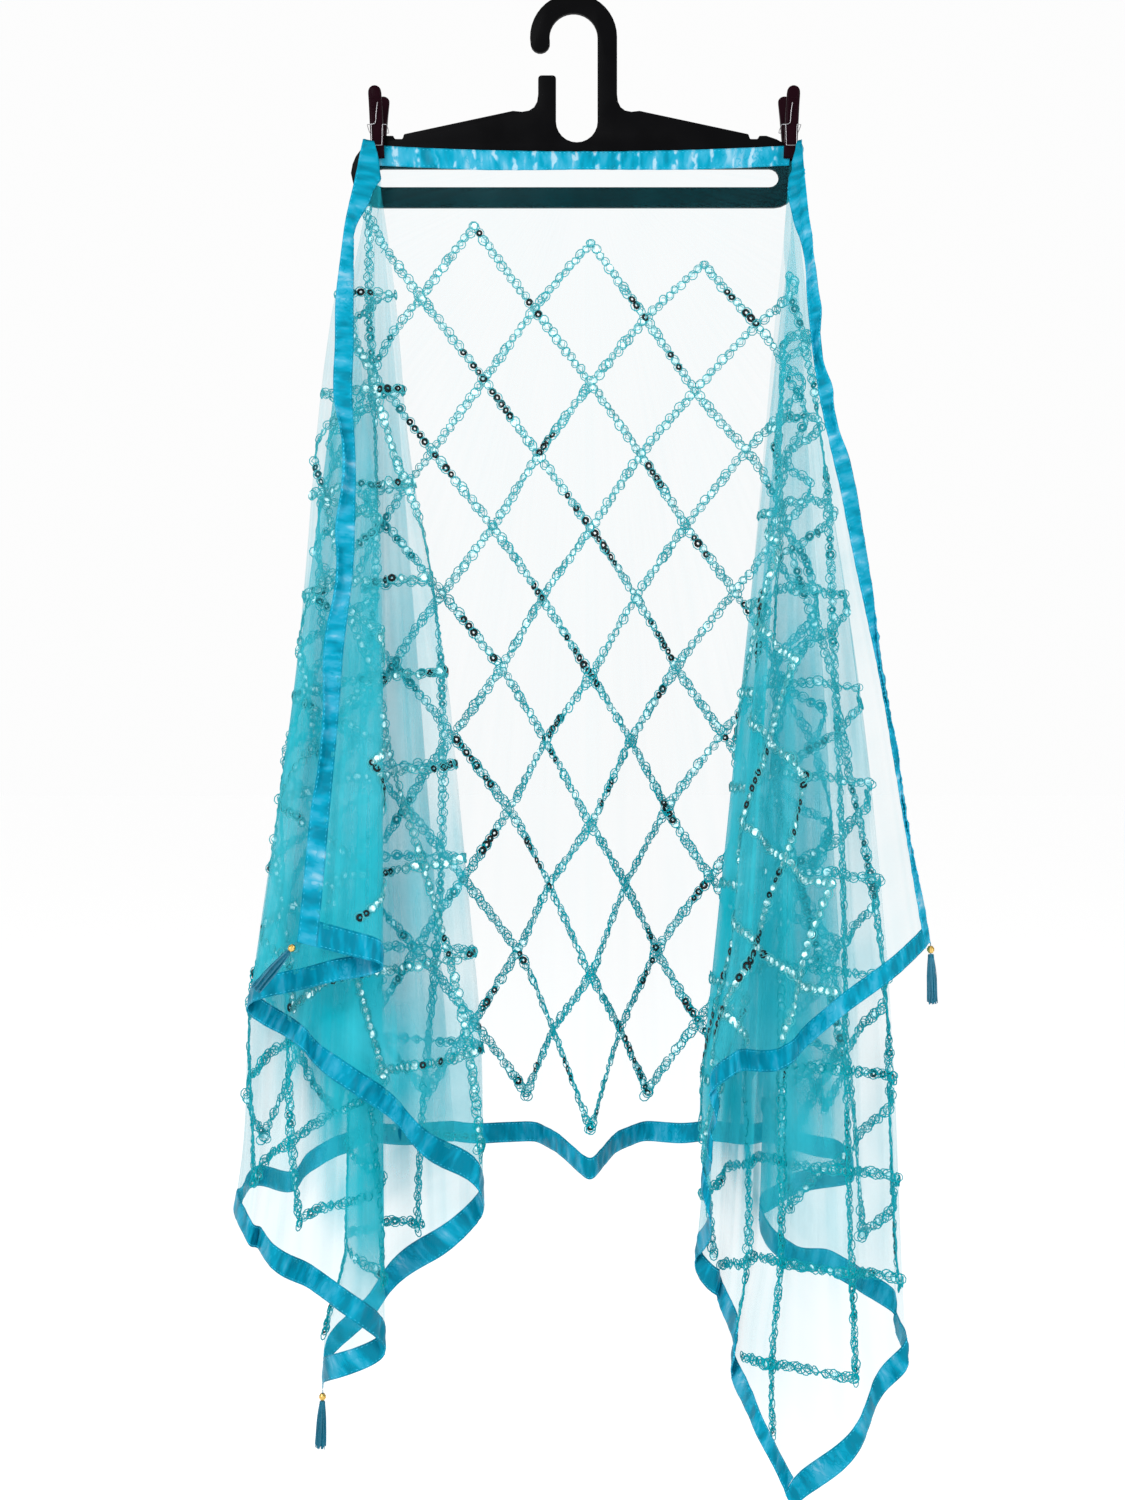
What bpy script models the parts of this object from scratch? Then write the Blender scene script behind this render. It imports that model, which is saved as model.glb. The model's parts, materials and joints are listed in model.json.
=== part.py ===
"""Dupatta stole hung from a flat plastic hanger by two clothes pegs.

Metres, +Z up, +X to the right seen from the front, the front faces -Y.
The origin is the top of the hook's inner curve, where a rail or nail carries the hanger.
"""
import math

import bmesh
import bpy
import numpy as np
from mathutils import Matrix, Vector
from mathutils.geometry import tessellate_polygon

MM = 0.001

# The stole laid flat: a rectangle with a satin ribbon all round.
STOLE_WIDTH = 0.915  # the drop from the pegged long edge to the hem
LEFT_REACH = 0.72  # the pegged edge from the left peg to the left end
RIGHT_REACH = 0.82  # the pegged edge from the right peg to the right end
RIBBON = 0.0185  # width of the satin ribbon
CLOTH_WALL = 0.0010
RIBBON_WALL = 0.0012
SEAM_GAP = 0.0003
EDGE_GAP = 0.0013  # round the stretches of a side, whose edges cross tight folds

# Where the two pegs hold the upper edge.
LEFT_PEG = Vector((-0.1805, -0.0043, -0.1232))
RIGHT_PEG = Vector((0.1998, -0.0043, -0.1232))
PEG_HALF_SPAN = (RIGHT_PEG.x - LEFT_PEG.x) / 2
PEG_CENTRE = (RIGHT_PEG.x + LEFT_PEG.x) / 2
EDGE_SAG = 0.0055  # of the upper edge between the pegs

# Folds of each side. The cloth hangs in rays from its peg: `turn` is a ray's angle on the
# flat cloth in degrees, 0 straight down and 90 along the upper edge. `side` and `front`
# say how far the ray has gone to the right and forward, in metres, one metre below the
# peg. `reach` is the share of the cloth's length left by small ripples, and `belly` how
# far the ray bulges to the right just below the peg.
# Columns: turn, side, front, reach, belly.
LEFT_FOLDS = (
    (0.0, 0.080, 0.038, 1.000, 0.000),
    (5.5, -0.005, 0.005, 1.000, 0.000),
    (10.5, -0.060, 0.055, 1.000, 0.000),
    (14.0, -0.095, 0.018, 1.000, 0.000),
    (17.0, -0.135, 0.008, 0.990, -0.005),
    (20.0, -0.143, 0.060, 0.990, -0.008),
    (23.0, -0.115, 0.100, 0.995, -0.005),
    (27.0, -0.070, 0.122, 1.000, 0.000),
    (30.5, -0.030, 0.108, 0.990, 0.000),
    (33.0, 0.018, 0.118, 0.985, 0.000),
    (34.8, 0.020, 0.088, 0.980, 0.000),
    (37.2, -0.022, 0.068, 0.970, 0.000),
    (39.4, -0.020, 0.038, 0.970, 0.000),
    (41.7, 0.016, 0.034, 0.970, 0.000),
    (43.8, 0.060, 0.048, 0.975, 0.004),
    (46.0, 0.106, 0.070, 0.985, 0.008),
    (49.2, 0.106, 0.138, 0.990, 0.008),
    (51.4, 0.068, 0.160, 1.000, 0.000),
    (54.7, 0.035, 0.140, 1.000, 0.000),
    (58.9, -0.037, 0.150, 1.000, -0.003),
    (62.9, -0.070, 0.142, 1.000, -0.006),
    (68.0, -0.134, 0.145, 1.000, -0.009),
    (71.0, -0.137, 0.185, 1.000, -0.008),
    (76.0, -0.053, 0.200, 1.000, -0.005),
    (80.5, 0.018, 0.206, 1.000, -0.004),
    (83.5, 0.016, 0.230, 1.000, -0.005),
    (90.0, -0.075, 0.232, 1.000, -0.006),
)
RIGHT_FOLDS = (
    (0.0, -0.091, 0.042, 1.000, 0.000),
    (5.5, -0.023, 0.012, 1.000, 0.000),
    (11.0, 0.048, 0.040, 1.000, 0.000),
    (13.5, 0.052, 0.078, 1.000, 0.000),
    (16.0, 0.005, 0.085, 1.000, 0.000),
    (19.0, -0.040, 0.075, 1.000, 0.000),
    (21.5, -0.038, 0.110, 1.000, 0.000),
    (25.0, 0.008, 0.125, 1.000, 0.000),
    (29.0, 0.045, 0.100, 0.990, 0.000),
    (32.5, 0.072, 0.108, 0.975, 0.000),
    (35.5, 0.070, 0.145, 0.970, 0.000),
    (38.5, 0.035, 0.160, 0.975, 0.000),
    (41.9, -0.018, 0.150, 0.980, 0.000),
    (45.5, -0.042, 0.130, 0.980, 0.000),
    (49.0, -0.062, 0.126, 0.990, 0.000),
    (52.2, -0.078, 0.086, 1.000, 0.000),
    (54.8, -0.112, 0.094, 1.000, 0.000),
    (57.5, -0.104, 0.135, 1.000, 0.000),
    (60.5, -0.078, 0.150, 1.000, 0.000),
    (63.0, -0.076, 0.173, 1.000, 0.000),
    (66.0, -0.102, 0.179, 1.000, 0.000),
    (69.5, -0.102, 0.208, 1.000, 0.000),
    (77.5, -0.030, 0.214, 0.990, 0.000),
    (80.5, 0.015, 0.226, 0.960, 0.008),
    (84.5, 0.085, 0.222, 0.930, 0.010),
    (88.0, 0.122, 0.195, 0.910, 0.007),
    (90.0, 0.136, 0.178, 0.900, 0.006),
)
FOLD_SOFTNESS = 1.8  # degrees either side over which a fold is rounded, well below the peg
PEG_SOFTNESS = 7.0  # degrees more right at the peg
PEG_SOFTNESS_DROP = 0.09
BELLY_DROP = 0.12  # the belly is fullest this far below the peg

# Close to the peg the folds merge into a gather of fewer, softer folds. `side` and `front`
# are as above, and `start` is how far forward the ray begins at the peg itself, in metres.
# Columns: turn, side, front, start.
LEFT_GATHER = (
    (0.0, 0.050, 0.004, 0.0000),
    (5.0, 0.020, 0.006, 0.0000),
    (13.0, -0.030, 0.014, 0.0006),
    (19.0, -0.060, 0.050, 0.0040),
    (26.5, -0.026, 0.100, 0.0074),
    (31.0, 0.010, 0.104, 0.0080),
    (35.5, 0.030, 0.070, 0.0060),
    (39.5, 0.034, 0.056, 0.0042),
    (47.6, 0.090, 0.080, 0.0060),
    (56.0, 0.040, 0.140, 0.0125),
    (70.0, -0.060, 0.175, 0.0140),
    (82.0, -0.030, 0.215, 0.0165),
    (90.0, -0.045, 0.240, 0.0180),
)
RIGHT_GATHER = (
    (0.0, -0.055, 0.004, 0.0000),
    (5.0, -0.020, 0.006, 0.0000),
    (12.5, 0.030, 0.030, 0.0012),
    (20.0, -0.010, 0.060, 0.0026),
    (33.0, 0.045, 0.090, 0.0050),
    (52.0, -0.060, 0.100, 0.0075),
    (61.0, -0.055, 0.140, 0.0100),
    (69.0, -0.075, 0.180, 0.0125),
    (90.0, 0.120, 0.225, 0.0160),
)
GATHER_SOFTNESS = 5.0  # degrees
GATHER_END = 0.18  # the folds are fully formed this far below the peg
GATHER_SIDE = 0.012  # how far outward its last fold stands at the peg
GATHER_TURN = 60.0  # the upper edge's ribbon narrows to this ray beside the peg

# The stretches, each round one fold, by the turns where they meet in flat cloth.
LEFT_STRETCHES = (0.0, 23.0, 31.5, 43.5, 57.0, 73.5, 90.0)
RIGHT_STRETCHES = (0.0, 15.5, 27.5, 40.5, 55.5, 65.0, 75.5, 90.0)

# The back panel at its hem. `across` runs from -1 at the left peg to 1 at the right peg,
# `side` is the hem's place to the right, `front` how far it stands forward, `drop` the
# share by which it hangs lower.
# Columns: across, side, front, drop.
BACK_FOLDS = (
    (-1.00, -0.1093, 0.0348, 0.000),
    (-0.88, -0.0900, 0.0370, 0.000),
    (-0.72, -0.0660, 0.0180, 0.000),
    (-0.50, -0.0350, 0.0000, 0.000),
    (-0.25, -0.0150, 0.0450, 0.000),
    (0.03, 0.0140, 0.1000, 0.016),
    (0.33, 0.0370, 0.0450, 0.000),
    (0.62, 0.0640, 0.0050, 0.000),
    (0.88, 0.0980, 0.0400, 0.000),
    (1.00, 0.1167, 0.0384, 0.000),
)
BACK_SOFTNESS = 0.10
BACK_BUILD_UP = 0.65  # how soon the back panel's folds stand forward

NORMAL_SPREAD = 0.003  # flat cloth over which a wall's direction is taken
EDGE_NORMAL_SPREAD = 0.003
SEAM_TURN = 0.6  # degrees a seam between stretches takes at most, where the rays run close
TURN_STEP = 1.5  # degrees between the columns of a cloth wall
# Rows of a cloth wall, as shares of the way from the pegged edge to the hem.
ROW_SHARES = np.array((0.0, 0.008, 0.022, 0.05, 0.10, 0.18, 0.30, 0.48, 0.73, 1.0))
BACK_STEPS = 34
FRONT_COLUMNS = 14  # columns of each side's last stretch

# The hanger, cut from flat plastic.
HANGER_THICK = 0.006
HANGER_CENTRE = 0.0025
HOOK_INNER = 0.0222
HOOK_OUTER = 0.0402
HOOK_TIP_TURN = 190  # degrees from +X, anticlockwise
POST_LEFT = -0.0327
POST_RADIUS = 0.003
POST_TOP_Z = -0.0577
POST_FOOT_Z = -0.075  # where the post and the stem begin to flare
FLARE_DEPTH = 0.020
FLARE_END = (0.0585, -0.0905)
SLOT_LEFT = -0.0162
SLOT_RIGHT = 0.0222
SLOT_FLOOR_Z = -0.1195
STEM_RIGHT = 0.0402
SHOULDER_X = 0.1590
SHOULDER_Z = -0.1120
NOTCH_END = 0.1690
NOTCH_DEPTH = 0.0045
NOTCH_SLOPE = 0.0015
ARM_TIP = (0.1755, -0.1135)
ARM_ROUND = (0.2060, -0.1215)
ARM_UNDER_ROUND = (0.2030, -0.1790)
HANGER_HALF = 0.2081
HANGER_SIDE_Z = -0.1480  # where the rounded ends are widest
BAR_HALF = 0.1830
BAR_TOP_Z = -0.1610
BAR_BOTTOM_Z = -0.1795
WINDOW_TOP_Z = -0.1435
WINDOW_HALF = 0.1870

# One clothes peg: a front and a rear half about the hanger's arm, and its wire spring.
# Heights are above the cloth's upper edge.
PEG_WIDTH = 0.012
PEG_TIP_Z = -0.012
PEG_TAIL_Z = 0.052
PEG_LEAN_FRONT = 2.5  # degrees outward
PEG_LEAN_REAR = 4.0  # degrees inward
PEG_JAW_TOP = 0.0105
PEG_PIVOT_LOW = 0.0135
PEG_PIVOT_HIGH = 0.020
PEG_PIVOT_Y = 0.00018  # half the gap between the halves where they touch
PEG_TAIL_BEND_Z = 0.034
PEG_TAIL_INNER = 0.0070
PEG_TAIL_OUTER = 0.0135
PEG_TAIL_END_INNER = 0.0125
PEG_TAIL_END_OUTER = 0.0165
PEG_JAW_THICK = 0.0070
WIRE_RADIUS = 0.0008
WIRE_LEVEL = 0.0165
WIRE_FRONT = -0.0134
WIRE_REAR = 0.0115
WIRE_CLEAR = 0.0021  # beside each half, which leans

# Tassels at the four corners, hung by a thread through a gold bead.
THREAD_START = 0.0004  # below the corner
BEAD_TOP = 0.0035  # below the corner
BEAD_RADIUS = 0.0033
BEAD_BORE = 0.0011
BEAD_RIM = 0.0004
BEAD_HEIGHT = 0.0062
BEAD_SIDES = 12
BEAD_ROUND = 60  # degrees of its barrel either side of the middle
THREAD_RADIUS = 0.0006
TASSEL_LENGTH = 0.043
TASSEL_HALF = 0.0042  # half the width of the tassel's head
TASSEL_CELLS = 5  # strands each way
TASSEL_HEAD_DEPTH = 0.0030
STRAND_INSET = 0.24  # share of a cell left bare on each side of its strand
STRAND_STEPS = 3
STRAND_SPREAD = 0.10
STRAND_DRIFT = 0.00012


def clear_scene():
    for thing in list(bpy.data.objects):
        bpy.data.objects.remove(thing, do_unlink=True)


def plain_material(name, colour, roughness, metallic=0.0):
    material = bpy.data.materials.new(name)
    material.use_nodes = True
    shader = material.node_tree.nodes["Principled BSDF"]
    shader.inputs["Base Color"].default_value = (*colour, 1.0)
    shader.inputs["Roughness"].default_value = roughness
    shader.inputs["Metallic"].default_value = metallic
    material.diffuse_color = (*colour, 1.0)
    return material


def object_from(shape, name, material, smooth_angle=None):
    """An object from a finished shape, its faces turned outward."""
    bmesh.ops.recalc_face_normals(shape, faces=shape.faces)
    mesh = bpy.data.meshes.new(name)
    shape.to_mesh(mesh)
    shape.free()
    thing = bpy.data.objects.new(name, mesh)
    mesh.materials.append(material)
    bpy.context.scene.collection.objects.link(thing)
    if smooth_angle is not None:
        mesh.shade_smooth()
        mesh.set_sharp_from_angle(angle=math.radians(smooth_angle))
    return thing


# ---------------------------------------------------------------- the draped surface


def softened(where, table, softness):
    """Read a table of folds at `where`, each fold rounded over `softness` either side."""
    knots = table[:, 0]
    values = table[:, 1:]
    total = 0.0
    weight_sum = 0.0
    for offset in np.linspace(-1.0, 1.0, 9):
        weight = math.cos(offset * 0.45 * math.pi) ** 2
        spot = where + offset * softness
        below = spot < knots[0]
        above = spot > knots[-1]
        mirrored = np.where(below, 2 * knots[0] - spot, np.where(above, 2 * knots[-1] - spot, spot))
        columns = [np.interp(mirrored, knots, values[:, k]) for k in range(values.shape[1])]
        read = np.stack(columns, axis=-1)
        read = np.where(below[..., None], 2 * values[0] - read, read)
        read = np.where(above[..., None], 2 * values[-1] - read, read)
        total = total + weight * read
        weight_sum += weight
    return total / weight_sum


def smoothstep(value):
    clipped = np.clip(value, 0.0, 1.0)
    return clipped * clipped * (3.0 - 2.0 * clipped)


class Side:
    """The cloth beyond one peg: (out, down) on the flat cloth becomes a point in space."""

    def __init__(self, peg, outward, reach, folds, gather):
        self.peg = np.array(peg)
        self.outward = outward
        self.reach = reach
        self.folds = np.array(folds)
        self.gather = np.array(gather)

    def point(self, out, down):
        out = np.asarray(out, float)
        down = np.asarray(down, float)
        length = np.hypot(out, down)
        turn = np.degrees(np.arctan2(out, np.maximum(down, 1e-9)))
        softness = FOLD_SOFTNESS + PEG_SOFTNESS * np.exp(-length / PEG_SOFTNESS_DROP)
        fold = softened(turn, self.folds, softness)
        gather = softened(turn, self.gather, GATHER_SOFTNESS)
        formed = smoothstep(length / GATHER_END)
        side = gather[..., 0] + (fold[..., 0] - gather[..., 0]) * formed
        front = gather[..., 1] + (fold[..., 1] - gather[..., 1]) * formed
        ray = np.stack([side, -front, -np.ones_like(length)], axis=-1)
        ray /= np.linalg.norm(ray, axis=-1, keepdims=True)
        belly = fold[..., 3] * (length / BELLY_DROP) * np.exp(1.0 - length / BELLY_DROP)
        share = np.clip(turn / 90.0, 0.0, 1.0)
        start_side = self.outward * GATHER_SIDE * share ** 1.6
        start = np.stack([belly + start_side, -gather[..., 2], np.zeros_like(length)], axis=-1)
        return self.peg + start + ray * (length * fold[..., 2])[..., None]


def free_back_point(across, down):
    """The panel between the pegs, before its edges are brought to the rays below the pegs."""
    share = across / PEG_HALF_SPAN
    hem = softened(np.clip(share, -1.0, 1.0), np.array(BACK_FOLDS), BACK_SOFTNESS)
    fall = np.maximum(down, 0.0) / STOLE_WIDTH
    x = (1.0 - fall) * (PEG_CENTRE + across) + fall * hem[..., 0]
    build_up = BACK_BUILD_UP + (1.0 - BACK_BUILD_UP) * np.abs(share) ** 3
    y = LEFT_PEG.y - hem[..., 1] * fall ** build_up
    z = LEFT_PEG.z - EDGE_SAG * (1.0 - share ** 2) - down * (1.0 + hem[..., 2])
    return np.stack([x, y, z], axis=-1)


def back_surface(left, right):
    """The surface of the back panel, its two edges shared with the sides."""
    def point(across, down):
        across = np.asarray(across, float)
        down = np.asarray(down, float)
        share = np.clip((across / PEG_HALF_SPAN + 1.0) / 2.0, 0.0, 1.0)[..., None]
        ends = np.full_like(down, PEG_HALF_SPAN)
        to_left = left.point(np.zeros_like(down), down) - free_back_point(-ends, down)
        to_right = right.point(np.zeros_like(down), down) - free_back_point(ends, down)
        return free_back_point(across, down) + to_left * (1.0 - share) ** 4 + to_right * share ** 4

    return point


# ---------------------------------------------------------------- walls of cloth


def quad_centres(grid):
    return (grid[:-1, :-1] + grid[1:, :-1] + grid[:-1, 1:] + grid[1:, 1:]) / 4


def wall_object(name, surface, first, second, thickness, material, nudge=NORMAL_SPREAD):
    """A closed wall on `surface` over a grid of flat cloth places `first`, `second`."""
    middle = surface(first, second)
    along_first = surface(first + nudge, second) - surface(first - nudge, second)
    along_second = surface(first, second + nudge) - surface(first, second - nudge)
    normal = np.cross(along_first, along_second)
    normal /= np.linalg.norm(normal, axis=-1, keepdims=True)
    rows, columns = first.shape
    near = middle + normal * thickness / 2
    far = middle - normal * thickness / 2
    shape = bmesh.new()
    near_verts = [[shape.verts.new(near[i, j]) for j in range(columns)] for i in range(rows)]
    far_verts = [[shape.verts.new(far[i, j]) for j in range(columns)] for i in range(rows)]
    centre = surface(quad_centres(first), quad_centres(second))
    falling = (middle[:-1, :-1] + middle[1:, 1:]) / 2
    rising = (middle[:-1, 1:] + middle[1:, :-1]) / 2
    falls = np.linalg.norm(falling - centre, axis=-1) <= np.linalg.norm(rising - centre, axis=-1)
    for i in range(rows - 1):
        for j in range(columns - 1):
            corners = ((i, j), (i, j + 1), (i + 1, j + 1), (i + 1, j))
            if not falls[i, j]:
                corners = corners[1:] + corners[:1]
            for picks in ((0, 1, 2), (0, 2, 3)):
                places = [corners[k] for k in picks]
                shape.faces.new([near_verts[r][c] for r, c in places])
                shape.faces.new([far_verts[r][c] for r, c in reversed(places)])
    rim = [(0, j) for j in range(columns)]
    rim += [(i, columns - 1) for i in range(1, rows)]
    rim += [(rows - 1, j) for j in range(columns - 2, -1, -1)]
    rim += [(i, 0) for i in range(rows - 2, 0, -1)]
    for k, (i, j) in enumerate(rim):
        p, q = rim[(k + 1) % len(rim)]
        shape.faces.new((near_verts[p][q], near_verts[i][j], far_verts[i][j], far_verts[p][q]))
    return object_from(shape, name, material, smooth_angle=50)


def turn_columns(start, end, corner):
    """Even columns from `start` to `end`, the nearest one moved to the lower corner's turn."""
    count = max(3, int(round((end - start) / TURN_STEP)) + 1)
    turns = np.linspace(start, end, count)
    if start < corner < end:
        turns[np.argmin(np.abs(turns - corner))] = corner
    return turns


def front_turns(reach, start):
    """Turns of the last stretch: it starts at a fold and ends along the upper edge's ribbon."""
    inner = RIBBON + EDGE_GAP
    first_out = inner * math.tan(math.radians(start))
    outs = np.geomspace(first_out, reach - inner - 0.012, FRONT_COLUMNS)
    return np.degrees(np.arctan2(outs, inner))


def stretch_turns(reach, stretches, number):
    if number == len(stretches) - 2:
        return front_turns(reach, stretches[number])
    inner = RIBBON + EDGE_GAP
    corner = math.degrees(math.atan2(reach - inner, STOLE_WIDTH - inner))
    return turn_columns(stretches[number], stretches[number + 1], corner)


def stretch_grid(reach, turns, is_last):
    """Flat places (out, down) of one stretch of a side, between two rays from the peg."""
    inner = RIBBON + EDGE_GAP
    angle = np.radians(turns)
    upper = inner / np.cos(angle)
    to_hem = (STOLE_WIDTH - inner) / np.cos(angle)
    to_end = (reach - inner) / np.sin(np.maximum(angle, 1e-6))
    length = upper + (np.minimum(to_hem, to_end) - upper) * ROW_SHARES[:, None]
    out = length * np.sin(angle)
    down = length * np.cos(angle)
    half = np.minimum(EDGE_GAP / 2, length * math.radians(SEAM_TURN))
    out[:, 0] += half[:, 0] * math.cos(angle[0])
    down[:, 0] -= half[:, 0] * math.sin(angle[0])
    if not is_last:
        out[:, -1] -= half[:, -1] * math.cos(angle[-1])
        down[:, -1] += half[:, -1] * math.sin(angle[-1])
    return out, down


def side_columns(reach, stretches):
    """The turns of all the columns of a side, each once."""
    joined = [stretch_turns(reach, stretches, k) for k in range(len(stretches) - 1)]
    return np.unique(np.round(np.concatenate(joined), 6))


def corner_outs(reach):
    """Columns over the end ribbon's width, shared by the ribbons that meet it."""
    return np.array([reach - RIBBON, reach - RIBBON / 2, reach])


def hem_ribbon_grid(reach, turns):
    inner_down = STOLE_WIDTH - RIBBON
    tangent = np.tan(np.radians(turns[turns < 80.0]))
    tangent = tangent[STOLE_WIDTH * tangent < reach - RIBBON - 0.004]
    inner = np.concatenate([inner_down * tangent, corner_outs(reach)])
    outer = np.concatenate([STOLE_WIDTH * tangent, corner_outs(reach)])
    outer[0] += SEAM_GAP / 2
    inner[0] += SEAM_GAP / 2
    down = np.stack([np.full_like(outer, inner_down), np.full_like(outer, STOLE_WIDTH)])
    return np.stack([inner, outer]), down


def end_ribbon_grid(reach, turns):
    lowest = STOLE_WIDTH - RIBBON - SEAM_GAP
    highest = RIBBON + SEAM_GAP
    tangent = np.tan(np.radians(turns[turns > 20.0]))
    keep = (reach / tangent < lowest - 0.002) & ((reach - RIBBON) / tangent > highest + 0.004)
    tangent = tangent[keep]
    outs = corner_outs(reach)
    down = [np.concatenate([[lowest], out / tangent, [highest]]) for out in outs]
    return np.broadcast_to(outs[:, None], (3, len(tangent) + 2)).copy(), np.stack(down)


def long_ribbon_grid(reach, turns):
    """The ribbon from the peg outward: narrow where the peg gathers it, then full width."""
    gather_tan = math.tan(math.radians(GATHER_TURN))
    full_from = RIBBON * gather_tan
    outs = (RIBBON + EDGE_GAP) * np.tan(np.radians(turns))
    outs = outs[outs > full_from + 0.001]
    narrow = np.linspace(full_from / 3, full_from, 6)
    outs = outs[outs < reach - RIBBON - 0.004]
    outs = np.concatenate([narrow, outs, corner_outs(reach)])
    width = np.minimum(RIBBON, outs / gather_tan)
    share = np.linspace(0.0, 1.0, 3)[:, None]
    return np.broadcast_to(outs, (3, len(outs))).copy(), width * share


def build_side(side, word, stretches, cloth, satin):
    count = len(stretches) - 1
    for k in range(count):
        turns = stretch_turns(side.reach, stretches, k)
        out, down = stretch_grid(side.reach, turns, k == count - 1)
        wall_object(f"{word}_stretch_{k + 1}", side.point, out, down, CLOTH_WALL, cloth)
    turns = side_columns(side.reach, stretches)
    out, down = hem_ribbon_grid(side.reach, turns)
    wall_object(f"{word}_hem_ribbon", side.point, out, down, RIBBON_WALL, satin)
    out, down = end_ribbon_grid(side.reach, turns)
    wall_object(f"{word}_end_ribbon", side.point, out, down, RIBBON_WALL, satin)
    out, down = long_ribbon_grid(side.reach, turns)
    name = f"{word}_edge_ribbon"
    wall_object(name, side.point, out, down, RIBBON_WALL, satin, EDGE_NORMAL_SPREAD)


def build_back(left, right, cloth, satin):
    back_point = back_surface(left, right)
    half = PEG_HALF_SPAN - SEAM_GAP / 2
    across = np.linspace(-half, half, BACK_STEPS + 1)
    upper = RIBBON + EDGE_GAP
    lower = STOLE_WIDTH - RIBBON - SEAM_GAP
    first, second = np.meshgrid(across, upper + (lower - upper) * ROW_SHARES)
    wall_object("back_panel", back_point, first, second, CLOTH_WALL, cloth)
    first, second = np.meshgrid(across, np.array([0.0, RIBBON]))
    wall_object("back_edge_ribbon", back_point, first, second, RIBBON_WALL, satin)
    first, second = np.meshgrid(across, np.array([STOLE_WIDTH - RIBBON, STOLE_WIDTH]))
    wall_object("back_hem_ribbon", back_point, first, second, RIBBON_WALL, satin)


# ---------------------------------------------------------------- hanger


def arc(centre_x, centre_z, radius, start, end, steps):
    """Points on an arc, angles in degrees anticlockwise from +X."""
    points = []
    for k in range(steps + 1):
        angle = math.radians(start + (end - start) * k / steps)
        points.append((centre_x + radius * math.cos(angle), centre_z + radius * math.sin(angle)))
    return points


def curve_between(start, bend, end, steps):
    """Points on a quadratic curve, its last point left out."""
    points = []
    for k in range(steps):
        t = k / steps
        a, b, c = (1 - t) ** 2, 2 * t * (1 - t), t * t
        points.append((a * start[0] + b * bend[0] + c * end[0], a * start[1] + b * bend[1] + c * end[1]))
    return points


def arm_outline(sign, foot_x):
    """One arm from the foot of its post out to the end and back under, on side `sign`."""
    def at(x, z):
        return (HANGER_CENTRE + sign * x, z)

    foot = (foot_x, POST_FOOT_Z)
    end = at(HANGER_HALF, HANGER_SIDE_Z)
    under = at(BAR_HALF, BAR_BOTTOM_Z)
    points = curve_between(foot, (foot_x, POST_FOOT_Z - FLARE_DEPTH), at(*FLARE_END), 5)
    points += [at(*FLARE_END), at(SHOULDER_X, SHOULDER_Z)]
    points.append(at(SHOULDER_X + NOTCH_SLOPE, SHOULDER_Z - NOTCH_DEPTH))
    points.append(at(NOTCH_END - NOTCH_SLOPE, SHOULDER_Z - NOTCH_DEPTH))
    points.append(at(NOTCH_END, ARM_TIP[1]))
    points += curve_between(at(*ARM_TIP), at(*ARM_ROUND), end, 6)
    points += curve_between(end, at(*ARM_UNDER_ROUND), under, 6)
    points.append(under)
    return points


def hanger_outline():
    """The outer edge, clockwise from the hook's tip over the top and round both arms."""
    hook = arc(0.0, -HOOK_INNER, HOOK_OUTER, HOOK_TIP_TURN, 0, 22)
    right = arm_outline(1, STEM_RIGHT)
    left = arm_outline(-1, POST_LEFT)
    left.reverse()
    middle = (SLOT_LEFT + SLOT_RIGHT) / 2
    radius = (SLOT_RIGHT - SLOT_LEFT) / 2
    slot = arc(middle, SLOT_FLOOR_Z + radius, radius, 180, 360, 12)
    post = arc(POST_LEFT + POST_RADIUS, POST_TOP_Z - POST_RADIUS, POST_RADIUS, 180, 90, 3)
    post += arc(SLOT_LEFT - POST_RADIUS, POST_TOP_Z - POST_RADIUS, POST_RADIUS, 90, 0, 3)
    inner = arc(0.0, -HOOK_INNER, HOOK_INNER, 0, HOOK_TIP_TURN, 18)
    tip_middle = (HOOK_INNER + HOOK_OUTER) / 2
    tip_angle = math.radians(HOOK_TIP_TURN)
    tip_x = tip_middle * math.cos(tip_angle)
    tip_z = -HOOK_INNER + tip_middle * math.sin(tip_angle)
    tip_radius = (HOOK_OUTER - HOOK_INNER) / 2
    tip = arc(tip_x, tip_z, tip_radius, HOOK_TIP_TURN + 180, HOOK_TIP_TURN, 8)[1:-1]
    return hook + right + left + post + slot + inner + tip


def prism(name, loops, y_front, y_back, material):
    """Extrude outlines in the XZ plane along Y. The first loop is the outside."""
    flat = [[Vector((x, z, 0.0)) for x, z in loop] for loop in loops]
    triangles = tessellate_polygon(flat)
    places = [point for loop in loops for point in loop]
    shape = bmesh.new()
    front = [shape.verts.new((x, y_front, z)) for x, z in places]
    back = [shape.verts.new((x, y_back, z)) for x, z in places]
    for a, b, c in triangles:
        shape.faces.new((front[a], front[b], front[c]))
        shape.faces.new((back[c], back[b], back[a]))
    start = 0
    for loop in loops:
        count = len(loop)
        for k in range(count):
            a = start + k
            b = start + (k + 1) % count
            shape.faces.new((front[a], front[b], back[b], back[a]))
        start += count
    return object_from(shape, name, material, smooth_angle=35)


def build_hanger(material):
    window_radius = (WINDOW_TOP_Z - BAR_TOP_Z) / 2
    window_z = (WINDOW_TOP_Z + BAR_TOP_Z) / 2
    inset = WINDOW_HALF - window_radius
    window = arc(HANGER_CENTRE + inset, window_z, window_radius, -90, 90, 8)
    window += arc(HANGER_CENTRE - inset, window_z, window_radius, 90, 270, 8)
    half = HANGER_THICK / 2
    return prism("hanger", [hanger_outline(), window], -half, half, material)


# ---------------------------------------------------------------- clothes pegs


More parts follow.
